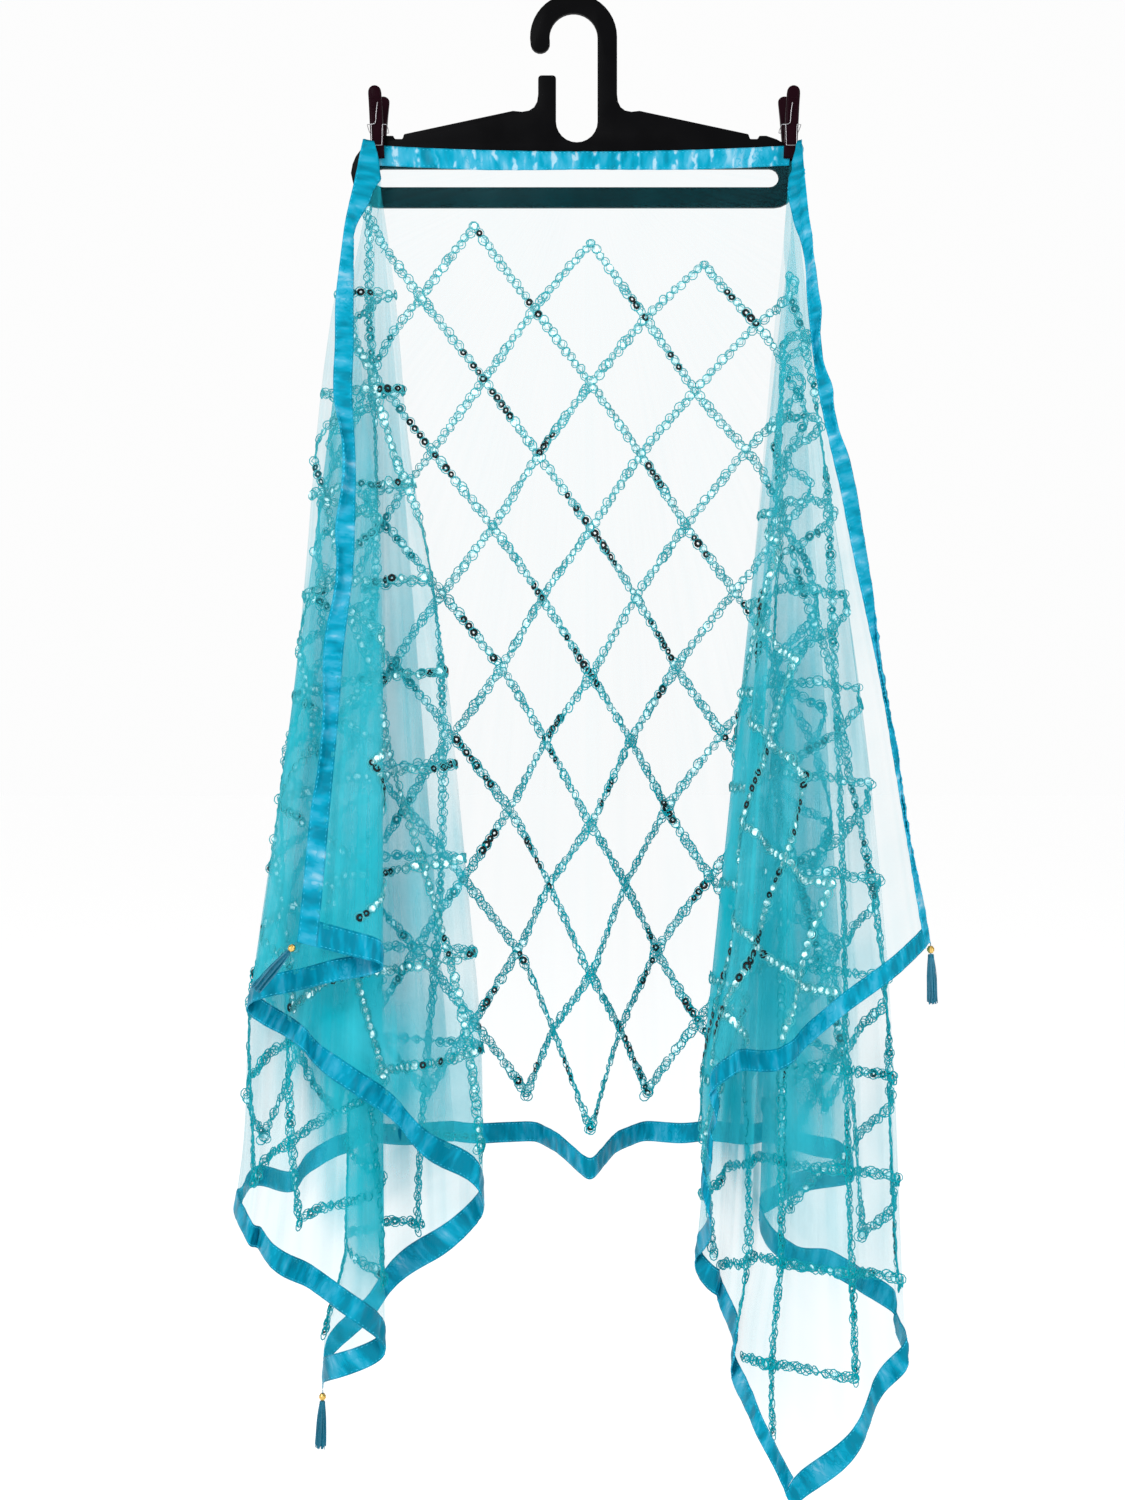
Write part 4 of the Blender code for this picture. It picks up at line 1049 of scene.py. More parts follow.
class LatticeSettings(bpy.types.PropertyGroup):
    cell_width: length_setting("Cell Width", "Width of one lattice cell", 0.111, 0.02)
    pitch: length_setting("Pitch", "From one sequin to the next", 0.0073, 0.003)
    loop_length: length_setting("Loop Length", "Length of a thread loop", 0.0088, 0.001)
    loop_width: length_setting("Loop Width", "Width of a thread loop", 0.0079, 0.001)
    thread_radius: length_setting("Thread Radius", "Radius of the thread", 0.00057, 0.0001)
    sequin_radius: length_setting("Sequin Radius", "Radius of a sequin", 0.0031, 0.0005)
    mirror_share: share_setting("Mirror Share", "Share of the sequins that are dark", 0.15)
    pale: colour_setting("Pale Thread", "Thread colour in the upper lattice", (0.08, 0.39, 0.43))
    deep: colour_setting("Deep Thread", "Thread colour in the lower lattice", (0.0, 0.30, 0.36))
    seed: IntProperty(name="Seed", description="Seed of the small unevenness", default=7)


class TasselSettings(bpy.types.PropertyGroup):
    strands: IntProperty(name="Strands", description="Strands in one tassel", default=130, min=8)
    strand_radius: length_setting("Strand Radius", "Radius of one strand", 0.00036, 0.0001)
    colour: colour_setting("Colour", "Colour of the tassels", (0.0, 0.16, 0.26))
    bead: colour_setting("Bead", "Colour of the beads", (0.80, 0.50, 0.10))


class HangerSettings(bpy.types.PropertyGroup):
    colour: colour_setting("Hanger Plastic", "Colour of the hanger", (0.003, 0.003, 0.0035))
    edge: length_setting("Edge Rounding", "Rounding of the hanger's edges", 0.0009)
    peg_colour: colour_setting("Peg Plastic", "Colour of the pegs", (0.012, 0.002, 0.005))
    wire_colour: colour_setting("Peg Wire", "Colour of the springs", (0.34, 0.33, 0.35))


class StageSettings(bpy.types.PropertyGroup):
    floor_drop: length_setting("Floor Drop", "From the lowest tassel to the floor", 0.05)
    key: number_setting("Key Light", "Strength of the main light", 55.0, unit="POWER")
    fill: number_setting("Fill Light", "Strength of the second light", 22.0, unit="POWER")


# ---------------------------------------------------------------- cloth


def cloth_piece(name, points, faces, flat, label, values, material):
    """A smoothly shaded piece of cloth with its flat UV and one attribute of its own."""
    mesh = mesh_from(name, points, faces)
    write_uv(mesh, flat)
    write_attribute(mesh, label, "FLOAT", values)
    mesh.shade_smooth()
    return link_object(name, mesh, material)


def add_sheet(sheet, surface, first, second, opacity, material):
    """The cloth of one sheet, which carries how much it hides as its gathered attribute."""
    name = f"{sheet}_organza"
    points = surface(first, second)
    flip = turned_away(points, facing_of(surface, first, second, FORWARD[sheet]))
    flat = np.stack([first.ravel(), second.ravel()], axis=-1)
    faces = grid_faces(*first.shape, flip)
    return cloth_piece(name, points.reshape(-1, 3), faces, flat, "gathered", opacity, material)


EVEN_TURNS = 80.0  # degrees; beyond them the columns close up along the upper ribbon
EDGE_COLUMNS = 34  # beyond the even turns
BACK_COLUMNS = 111
BACK_ROWS = 1.3  # times as many rows as on the sides


def side_turns(reach, column_turn):
    """Columns of a side: even turns, then ever closer ones along the upper ribbon."""
    inner = RIBBON - LAP
    corner = math.atan2(reach - inner, STOLE_WIDTH - inner)
    even = np.arange(0.0, math.radians(EVEN_TURNS), column_turn)
    even[np.argmin(np.abs(even - corner))] = corner
    first_out = inner * math.tan(even[-1] + column_turn)
    outs = np.geomspace(first_out, reach - inner, EDGE_COLUMNS)
    return np.concatenate([even, np.arctan2(outs, inner)])


def side_places(reach, settings):
    """Flat places of a side, in rays from the peg."""
    inner = RIBBON - LAP
    turns = side_turns(reach, settings.column_turn)
    upper = inner / np.cos(turns)
    to_hem = (STOLE_WIDTH - inner) / np.cos(turns)
    to_end = (reach - inner) / np.sin(np.maximum(turns, 1e-6))
    count = int(STOLE_WIDTH / settings.row_length)
    shares = np.linspace(0.0, 1.0, count)[:, None]
    length = upper + (np.maximum(np.minimum(to_hem, to_end), upper) - upper) * shares
    return length * np.sin(turns), length * np.cos(turns)


def pleating(table, first, second, settings):
    """How much one layer hides at each flat place: soft ovals laid one over another."""
    share = np.zeros_like(first)
    for centre_first, centre_second, wide, high, most in table:
        far = np.hypot((first - centre_first) / wide, (second - centre_second) / high)
        share = share + (most - share) * smoothstep(OVAL_EDGE - far)
    return settings.sheer + (settings.pleated - settings.sheer) * share


# ---------------------------------------------------------------- ribbons

# Puckers of the ribbons: wavelength, slant, share of the deepest, phase.
PUCKERS = (
    (0.0231, 0.55, 0.80, 0.4),
    (0.0142, -0.35, 0.65, 2.1),
    (0.0087, 0.25, 0.35, 4.0),
    (0.0610, 0.10, 0.60, 1.2),
)
BAND_COLUMNS = 8
BAND_STEP = 0.0026


def pucker_height(distance, share, depth):
    height = 0.0
    for wave, slant, part, phase in PUCKERS:
        wander = 1.1 * np.sin(distance / (wave * 1.9) + phase * 2)
        angle = 2 * math.pi * (distance / wave + slant * share) + phase + wander
        height = height + part * np.sin(angle)
    return depth * height * (0.25 + 0.75 * np.sin(math.pi * np.clip(share, 0, 1))) / 1.6


def ribbon_span(kind, reach, start, gap):
    """Where a ribbon starts and stops; an end ribbon stays `gap` off the two beside it."""
    if kind == "end":
        return RIBBON + gap, STOLE_WIDTH - RIBBON - gap
    return (-reach if kind.startswith("back") else start), reach


def across_ribbon(kind, reach, distance, share):
    """The flat places `distance` along a ribbon and `share` of its width across it."""
    if kind == "end":
        return reach - RIBBON * share, distance
    if kind.endswith("hem"):
        return distance, STOLE_WIDTH - RIBBON * share
    width = np.full_like(distance, RIBBON)
    if kind == "edge":
        width = np.minimum(RIBBON, distance / math.tan(math.radians(GATHER_TURN)))
    return distance, width * share


def band_places(kind, reach):
    """Flat places of one ribbon, with the distance along it and the share across it."""
    start, stop = ribbon_span(kind, reach, SEAM_GAP, SEAM_GAP)
    distance = np.append(np.arange(start, stop, BAND_STEP), stop)
    share = np.linspace(0.0, 1.0, BAND_COLUMNS)[:, None]
    distance, share = np.broadcast_arrays(distance[None, :], share)
    return *across_ribbon(kind, reach, distance, share), distance, share


def puckered_place(surface, forward, places, settings):
    first, second, distance, share = places
    facing = facing_of(surface, first, second, forward)
    lift = pucker_height(distance, share, settings.pucker)
    return surface(first, second) + facing * lift[..., None], facing


def add_band(name, surface, forward, places, deep, settings, material):
    """A closed puckered band of ribbon, thinner at its two edges."""
    distance, share = places[2:]
    middle, facing = puckered_place(surface, forward, places, settings)
    half = settings.thickness / 2 * (1.0 - 0.55 * np.abs(2 * share - 1) ** 6)[..., None]
    near = middle + facing * half
    far = middle - facing * half
    count = share.size
    flip = turned_away(middle, facing)
    front = grid_faces(*share.shape, flip)
    back = grid_faces(*share.shape, not flip) + count
    index = np.arange(count).reshape(share.shape)
    rim = np.concatenate([index[0], index[1:, -1], index[-1, -2::-1], index[-2:0:-1, 0]])
    after = np.roll(rim, -1)
    walls = (rim, after, after + count, rim + count)
    if flip:
        walls = walls[::-1]
    faces = np.concatenate([front, back, np.stack(walls, axis=-1)])
    points = np.concatenate([near.reshape(-1, 3), far.reshape(-1, 3)])
    flat = np.stack([distance.ravel(), (share * RIBBON).ravel()], axis=-1)
    flat = np.concatenate([flat, flat])
    # The deep attribute says how much darker the satin is painted here.
    return cloth_piece(name, points, faces, flat, "deep", np.full(2 * count, deep), material)


STITCH_START = 0.03  # the first stitches beside a peg
STITCH_ROWS = (0.09, 0.91)  # shares of the ribbon's width
STITCH_AHEAD = 0.001  # a place a little further on gives a stitch's direction
STITCH_WIDTH = 0.0006
STITCH_DEPTH = 0.0005  # more than the ribbon's thickness
STITCH_TILT = 0.05


def stitch_points(surface, forward, kind, reach, settings):
    """Places, facings and directions of the stitches along both edges of a ribbon."""
    start, stop = ribbon_span(kind, reach, STITCH_START, 0.0)
    distance = np.arange(start + settings.stitch_pitch, stop, settings.stitch_pitch)
    found = []
    for share in STITCH_ROWS:
        across = np.full_like(distance, share)
        flat = across_ribbon(kind, reach, distance, across)
        ahead = across_ribbon(kind, reach, distance + STITCH_AHEAD, across)
        place, facing = puckered_place(surface, forward, (*flat, distance, across), settings)
        found.append((place, facing, unit(surface(*ahead) - surface(*flat))))
    return [np.concatenate(parts) for parts in zip(*found)]


def points_mesh(name, places, facing, along, grow, edges=(), **more):
    mesh = mesh_from(name, places, (), edges)
    write_attribute(mesh, "facing", "FLOAT_VECTOR", facing)
    write_attribute(mesh, "along", "FLOAT_VECTOR", along)
    write_attribute(mesh, "grow", "FLOAT", grow)
    for label, (kind, values) in more.items():
        write_attribute(mesh, label, kind, values)
    return mesh


# ---------------------------------------------------------------- lattice


LATTICE_CLEAR = 0.006  # of the two end ribbons
LINE_NUMBERS = range(-24, 26)  # the lines that could reach the stole
LINE_POINTS = 400
FEWEST_POINTS = 12  # of a line, for it to be drawn
DEEP_FROM = 0.20  # the lattice's tone deepens from this far down
DEEP_OVER = 0.55
LOOP_TILT = 0.24
SEQUIN_TILT = 0.22
SEQUIN_DOME = 0.0007


def row_height(row, across):
    """The drop of a lattice row on the flat cloth, which leans between the pegs at the top."""
    step = (LAST_ROW - FIRST_ROW) / HALF_ROWS
    slope = np.interp(row, np.arange(len(ROW_SLOPES)), ROW_SLOPES)
    return FIRST_ROW + row * step + slope * np.clip(across, -HALF_SPAN, HALF_SPAN)


def lattice_lines(settings):
    """Every line of the lattice as evenly spaced (across, down) places on the flat stole."""
    half = settings.cell_width / 2
    lowest = -HALF_SPAN - LEFT_REACH + RIBBON + LATTICE_CLEAR
    highest = HALF_SPAN + RIGHT_REACH - RIBBON - LATTICE_CLEAR
    lines = []
    for slant in (1, -1):
        for k in LINE_NUMBERS:
            rows = np.linspace(0.0, HALF_ROWS, LINE_POINTS)
            across = PEAK_SHIFT + k * settings.cell_width + slant * rows * half
            down = row_height(rows, across)
            inside = (across > lowest) & (across < highest)
            if inside.sum() < FEWEST_POINTS:
                continue
            across, down = across[inside], down[inside]
            way = np.concatenate([[0.0], np.cumsum(np.hypot(np.diff(across), np.diff(down)))])
            count = max(2, int(round(way[-1] / settings.pitch)) + 1)
            even = np.linspace(0.0, way[-1], count)
            lines.append((slant, np.interp(even, way, across), np.interp(even, way, down)))
    return lines


def sheet_of(across):
    return np.where(across < -HALF_SPAN, 1, np.where(across > HALF_SPAN, 2, 0))


def flat_on_sheet(sheet, across, down):
    """Places of the whole flat stole as the sheet's own flat places."""
    if sheet == "back":
        return across, down
    outward = -across if sheet == "left" else across
    return np.maximum(outward - HALF_SPAN, 0.0), down


def lattice_chains(sheet, surface, settings):
    """The lattice on one sheet: places, facings, directions, edges and which are stations."""
    columns = {key: [] for key in ("place", "facing", "along", "station", "slant", "down")}
    edges = []
    count = 0
    for slant, across, down in lattice_lines(settings):
        mine = sheet_of(across) == SHEETS.index(sheet)
        if not mine.any():
            continue
        keep = mine.copy()
        keep[1:] |= mine[:-1]
        flat = flat_on_sheet(sheet, across[keep], down[keep])
        place = surface(*flat)
        facing = facing_of(surface, *flat, FORWARD[sheet])
        along = unit(np.gradient(place, axis=0))
        found = (place, facing, along, mine[keep], np.full(keep.sum(), slant), down[keep])
        for key, part in zip(columns, found):
            columns[key].append(part)
        picked = np.flatnonzero(keep)
        for k in range(len(picked) - 1):
            if picked[k + 1] == picked[k] + 1 and mine[picked[k]]:
                edges.append((count + k, count + k + 1))
        count += len(picked)
    return {key: np.concatenate(parts) for key, parts in columns.items()}, edges


# How far the threads of a chain lie to the sides of its line.
RUNNING_SWAY = 0.0011
LOOP_SWAY = 0.0007
SECOND_SWAY = 0.0006
COUCHED = 0.42  # where the couching threads cross over, as a share of the loop's width


def add_lattice(sheet, surface, settings, trees, materials):
    """The chain of thread loops and the two kinds of sequins on one sheet."""
    random = np.random.default_rng(settings.seed + SHEETS.index(sheet))
    chain, edges = lattice_chains(sheet, surface, settings)
    count = len(chain["place"])
    across = unit(np.cross(chain["facing"], chain["along"]))
    weave = np.where(np.arange(count) % 2, 1.0, -1.0)[:, None]
    radius = settings.thread_radius
    grow = random.uniform(0.82, 1.16, count)
    lower = smoothstep((chain["down"] - DEEP_FROM) / DEEP_OVER)
    tone = 0.32 + 0.68 * lower + random.normal(0.0, 0.10, count)
    places = chain["place"] + chain["facing"] * radius
    station = chain["station"]
    # The points of the running thread and of two couching threads that cross over it come
    # first. The points that carry the loops follow, and those of the second loops come last.
    sway = across * weave
    rise = chain["facing"] * random.uniform(0.0, 0.0010, count)[:, None]
    reach = (COUCHED * settings.loop_width * random.uniform(0.75, 1.15, count))[:, None]
    halfway = places + chain["along"] * settings.pitch * random.uniform(0.3, 0.6, count)[:, None]
    second = station & (random.uniform(0, 1, count) < 0.10 + 0.75 * lower)
    every = np.concatenate([
        places + sway * RUNNING_SWAY, places + sway * reach + rise,
        places - sway * reach + rise, places - sway * LOOP_SWAY,
        halfway + sway * SECOND_SWAY + rise,
    ])
    marks = np.concatenate([np.zeros(3 * count, bool), station, second])
    tones = np.concatenate([tone, tone - 0.25, tone - 0.35, tone, tone + 0.1])
    edges = [(a + count * k, b + count * k) for k in range(3) for a, b in edges]
    repeated = [np.concatenate([v] * 5) for v in (chain["facing"], chain["along"], grow)]
    mesh = points_mesh(
        f"{sheet}_lattice_thread", every, *repeated, edges,
        station=("BOOLEAN", marks), tone=("FLOAT", np.clip(tones, 0, 1)),
    )
    made = [grown(
        mesh.name, mesh, trees["chain"], Loop_Length=settings.loop_length,
        Loop_Width=settings.loop_width, Thread_Radius=radius, Tilt=LOOP_TILT,
        Seed=settings.seed, Material=materials["thread"],
    )]
    # Dark sequins come in runs, mostly on the lines that fall to the right.
    run = np.repeat(random.uniform(0, 1, count // 4 + 1), 4)[:count]
    wanted = settings.mirror_share * np.where(chain["slant"] > 0, 1.6, 0.5)
    dark = station & (run < wanted * 1.5) & (random.uniform(0, 1, count) < 0.7)
    domed = {"Radius": settings.sequin_radius, "Dome": SEQUIN_DOME}
    holed = {"Radius": settings.sequin_radius * 1.1}
    kinds = (("clear", station & ~dark, 1.6, domed), ("mirror", dark, 2.6, holed))
    for word, chosen, lift, size in kinds:
        above = chain["place"] + chain["facing"] * radius * lift
        columns = (above, chain["facing"], chain["along"], grow)
        mesh = points_mesh(f"{sheet}_{word}_sequins", *(column[chosen] for column in columns))
        made.append(grown(
            mesh.name, mesh, trees[word], **size, Tilt=SEQUIN_TILT, Seed=settings.seed + 3,
            Material=materials[word],
        ))
    return made


# ---------------------------------------------------------------- hanger and pegs


def bevelled(name, shape, material, width, segments, limit, sharp):
    """An object of the finished shape, its edges rounded where they turn past `limit`."""
    mesh = mesh_of(shape, name)
    thing = link_object(name, mesh, material)
    bevel = thing.modifiers.new("edges", "BEVEL")
    bevel.width = width
    bevel.segments = segments
    bevel.limit_method = "ANGLE"
    bevel.angle_limit = math.radians(limit)
    settled(thing).data.shade_smooth()
    thing.data.set_sharp_from_angle(angle=math.radians(sharp))
    return thing


def rounded_copy(node, name, width, material):
    """The CAD node's shape with its sharp edges rounded."""
    source = next(o for o in bpy.data.objects if o.get("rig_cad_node") == node)
    shape = bmesh.new()
    shape.from_mesh(source.data)
    bmesh.ops.remove_doubles(shape, verts=shape.verts, dist=1e-6)
    flat = math.radians(0.5)
    bmesh.ops.dissolve_limit(shape, angle_limit=flat, verts=shape.verts, edges=shape.edges)
    return bevelled(name, shape, material, width, segments=3, limit=40, sharp=32)


def peg_profile(jaw_y):
    """Side view of a peg half as (distance from the middle, height)."""
    outer = jaw_y + PEG_JAW_THICK
    return np.array([
        (jaw_y, PEG_TIP_Z),
        (jaw_y + 0.0022, PEG_TIP_Z - 0.0012),
        (jaw_y + 0.0050, PEG_TIP_Z + 0.0005),
        (outer, 0.004),
        (outer + 0.0008, 0.016),
        (PEG_TAIL_OUTER, PEG_TAIL_BEND_Z),
        (PEG_TAIL_END_OUTER, PEG_TAIL_Z - 0.003),
        (PEG_TAIL_END_OUTER - 0.001, PEG_TAIL_Z),
        (PEG_TAIL_END_INNER, PEG_TAIL_Z - 0.001),
        (PEG_TAIL_INNER, PEG_TAIL_BEND_Z),
        (PEG_PIVOT_Y, PEG_PIVOT_HIGH),
        (PEG_PIVOT_Y, PEG_PIVOT_LOW),
        (jaw_y, PEG_JAW_TOP),
    ])


PEG_ROUND_START = 0.040  # where the tail's rounded end begins
GRIP_HEIGHTS = (0.0270, 0.0305, 0.0340, 0.0375, 0.0410)
PEG_SLICES = 13  # across its width
PEG_EDGE = 0.0004  # rounding of its edges
GRIP_HALF = 0.0008  # half the height of a rib
GRIP_SHARE = 0.72  # of the peg's width


def leaned(points, lean, place):
    """Points turned about Y by `lean` degrees and then moved to their place."""
    angle = math.radians(lean)
    cos, sin = math.cos(angle), math.sin(angle)
    x, y, z = np.moveaxis(np.asarray(points, float), -1, 0)
    return np.stack([x * cos + z * sin, y, -x * sin + z * cos], axis=-1) + np.array(place)


def lofted(shape, rings):
    """Walls from each ring of points to the next, and a cap at both ends."""
    rings = [[shape.verts.new(p) for p in ring] for ring in rings]
    count = len(rings[0])
    for here, there in zip(rings, rings[1:]):
        for k in range(count):
            n = (k + 1) % count
            shape.faces.new((here[k], here[n], there[n], there[k]))
    shape.faces.new(rings[0])
    shape.faces.new(list(reversed(rings[-1])))


def add_peg_half(name, place, jaw_y, facing, lean, material):
    """One half with a rounded tail, softened sides and ribs for the fingers."""
    profile = peg_profile(jaw_y)
    half = PEG_WIDTH / 2
    middle = (profile[:, 0].min() + profile[:, 0].max()) / 2
    slices = []
    for angle in np.linspace(-90, 90, PEG_SLICES):
        across = half * math.sin(math.radians(angle))
        top = PEG_TAIL_Z - half + half * math.cos(math.radians(angle))
        share = (top - PEG_ROUND_START) / (PEG_TAIL_Z - PEG_ROUND_START)
        high = profile[:, 1]
        rounded = PEG_ROUND_START + (high - PEG_ROUND_START) * share
        z = np.where(high > PEG_ROUND_START, rounded, high)
        squeeze = 1.0 - 0.22 * abs(across / half) ** 8
        y = middle + (profile[:, 0] - middle) * squeeze
        slices.append(np.stack([np.full_like(y, across), y * facing, z], axis=-1))
    shape = bmesh.new()
    lofted(shape, [leaned(points, lean, place) for points in slices])
    tail = profile[4:7]
    for height in GRIP_HEIGHTS:
        edges = (height - GRIP_HALF, height + GRIP_HALF)
        low, high = (np.interp(edge, tail[:, 1], tail[:, 0]) for edge in edges)
        section = [(low - 0.0004, -0.0008), (low + 0.0002, -0.0008), (low + 0.0006, -0.0004)]
        section += [(high + 0.0006, 0.0004), (high + 0.0002, 0.0008), (high - 0.0004, 0.0008)]
        ends = [
            [(across, y * facing, height + z) for y, z in section]
            for across in (-half * GRIP_SHARE, half * GRIP_SHARE)
        ]
        lofted(shape, [leaned(ring, lean, place) for ring in ends])
    bmesh.ops.recalc_face_normals(shape, faces=shape.faces)
    return bevelled(name, shape, material, PEG_EDGE, segments=2, limit=35, sharp=40)


WIRE_SIDE = PEG_WIDTH / 2 + WIRE_CLEAR + WIRE_RADIUS
WIRE_NEAR = WIRE_FRONT - WIRE_RADIUS
WIRE_FAR = WIRE_REAR + WIRE_RADIUS


def both_sides(half):
    """A path followed by its mirror image, run back from the path's end."""
    return half + tuple((-x, y, z) for x, y, z in reversed(half))


# Paths of the spring wire on a peg, as (across, front, height). The hoop goes round both halves.
HOOP = both_sides((
    (-0.0052, WIRE_NEAR, WIRE_LEVEL), (-0.0074, WIRE_NEAR + 0.0007, WIRE_LEVEL),
    (-WIRE_SIDE, WIRE_NEAR + 0.0028, WIRE_LEVEL), (-WIRE_SIDE, WIRE_FAR - 0.0028, WIRE_LEVEL),
    (-0.0074, WIRE_FAR - 0.0007, WIRE_LEVEL), (-0.0052, WIRE_FAR, WIRE_LEVEL),
))
LOOP_DOWN = both_sides((
    (0.0052, WIRE_NEAR, WIRE_LEVEL), (0.0049, WIRE_NEAR, 0.008), (0.0046, WIRE_NEAR, -0.0015),
    (0.0036, WIRE_NEAR, -0.0026),
))
LEG_UP = (
    (-0.0052, WIRE_NEAR, WIRE_LEVEL), (-0.0030, WIRE_NEAR - 0.0003, 0.0168),
    (-0.0012, WIRE_NEAR - 0.0006, 0.0185), (-0.0006, WIRE_NEAR - 0.0011, 0.026),
    (0.0004, WIRE_NEAR - 0.0017, 0.034), (0.0006, WIRE_NEAR - 0.0019, 0.0360),
)


def smooth_path(points, steps=6):
    """A path through the points with rounded corners."""
    points = np.array(points, float)
    padded = np.concatenate([[2 * points[0] - points[1]], points, [2 * points[-1] - points[-2]]])
    result = []
    for k in range(1, len(padded) - 2):
        p0, p1, p2, p3 = padded[k - 1:k + 3]
        for t in np.linspace(0, 1, steps, endpoint=False):
            result.append(0.5 * (
                2 * p1 + (p2 - p0) * t + (2 * p0 - 5 * p1 + 4 * p2 - p3) * t ** 2
                + (3 * p1 - p0 - 3 * p2 + p3) * t ** 3
            ))
    result.append(points[-1])
    return np.array(result)


def lines_mesh(name, paths, tones=None):
    """A mesh of plain lines, for tubes to follow."""
    points = np.concatenate(paths)
    edges = []
    start = 0
    for path in paths:
        edges += [(start + k, start + k + 1) for k in range(len(path) - 1)]
        start += len(path)
    mesh = mesh_from(name, points, (), edges)
    if tones is not None:
        write_attribute(mesh, "tone", "FLOAT", np.concatenate(tones))
    return mesh


def add_spring(name, place, tree, material):
    paths = [smooth_path(path) for path in (HOOP, LOOP_DOWN, LEG_UP)]
    mesh = lines_mesh(name, [leaned(path, 0.0, place) for path in paths])
    return grown(name, mesh, tree, Radius=WIRE_RADIUS * 0.5, Sides=8, Material=material)


# ---------------------------------------------------------------- tassels


BEAD_SLICES = 28
BEAD_POINTS = 17  # down a bead's side
GROOVE_DEPTH = 0.00022  # of the grooves turned into a bead
GROOVE_TURNS = 3.5  # half waves of the grooves from its middle to its end
NECK_RADIUS = 0.0023  # of the thread wound round a tassel's neck
NECK_TOP = 0.0012  # below the bead
NECK_DEPTH = 0.0022
NECK_TURNS = 5
NECK_POINTS = 60
HEAD_RADIUS = 0.0021  # within which the strands start
GOLDEN_TURN = 2.39996  # from one strand's start to the next, in radians
STRAND_POINTS = 9
STRAND_SWAY = 0.00055
STRAND_CURL = 0.00035


def add_bead(name, lean, top, material):
    """A gold barrel bead with turned grooves and a bore for the thread."""
    half = BEAD_HEIGHT / 2
    profile = []
    for t in np.linspace(-1, 1, BEAD_POINTS):
        body = math.cos(math.radians(BEAD_ROUND * t)) * BEAD_RADIUS
        groove = GROOVE_DEPTH * (0.5 + 0.5 * math.cos(t * GROOVE_TURNS * math.pi))
        profile.append((max(body - groove, BEAD_BORE + BEAD_RIM), half * t))
    profile += [(BEAD_BORE, half), (BEAD_BORE, -half)]
    middle = -BEAD_TOP - half
    shape = bmesh.new()
    rings = []
    for s in range(BEAD_SLICES):
        angle = 2 * math.pi * s / BEAD_SLICES
        ring = [(r * math.cos(angle), r * math.sin(angle), z + middle) for r, z in profile]
        rings.append([shape.verts.new(p) for p in leaned(ring, lean, top)])
    for here, there in zip(rings, rings[1:] + rings[:1]):
        for k in range(len(profile)):
            n = (k + 1) % len(profile)
            shape.faces.new((here[k], there[k], there[n], here[n]))
    bmesh.ops.recalc_face_normals(shape, faces=shape.faces)
    mesh = mesh_of(shape, name)
    mesh.shade_smooth()
    mesh.set_sharp_from_angle(angle=math.radians(50))
    return link_object(name, mesh, material)


def tassel_paths(settings, random):
    """The hanging thread, the wound neck and the strands, all below the corner at 0."""
    head_top = -BEAD_TOP - BEAD_HEIGHT - SEAM_GAP
    paths = [np.array([(0, 0, -THREAD_START), (0.0001, 0, -0.002), (0, 0, head_top - 0.001)])]
    tones = [np.full(3, 0.4)]
    turns = np.linspace(0, 2 * math.pi * NECK_TURNS, NECK_POINTS)
    level = head_top - NECK_TOP - NECK_DEPTH * turns / turns[-1]
    neck = np.stack([NECK_RADIUS * np.cos(turns), NECK_RADIUS * np.sin(turns), level], axis=-1)
    paths.append(neck)
    tones.append(np.full(len(neck), 0.75))
    for k in range(settings.strands):
        radius = HEAD_RADIUS * math.sqrt((k + 0.5) / settings.strands)
        angle = k * GOLDEN_TURN
        start = np.array([radius * math.cos(angle), radius * math.sin(angle), head_top - 0.0006])
        length = (TASSEL_LENGTH - 0.0005) * random.uniform(0.86, 1.0)
        spread = random.uniform(1.2, 2.5)
        sway = random.normal(0, STRAND_SWAY, 2)
        path = []
        for t in np.linspace(0, 1, STRAND_POINTS):
            open_out = 1.0 + (spread - 1.0) * math.sin(min(t * 1.6, 1.0) * math.pi / 2)
            curl = np.array([math.sin(t * 5 + k), math.cos(t * 4 + 2 * k)]) * STRAND_CURL * t
            xy = start[:2] * open_out + sway * t + curl
            path.append((xy[0], xy[1], start[2] - length * t))
        paths.append(np.array(path))
        tones.append(np.full(len(path), random.uniform(0.0, 1.0)))
    return paths, tones


def add_tassel(name, lean, top, settings, random, tree, material):
    paths, tones = tassel_paths(settings, random)
    mesh = lines_mesh(name, [leaned(path, lean, top) for path in paths], tones)
    return grown(name, mesh, tree, Radius=settings.strand_radius, Sides=4, Material=material)


# ---------------------------------------------------------------- operators


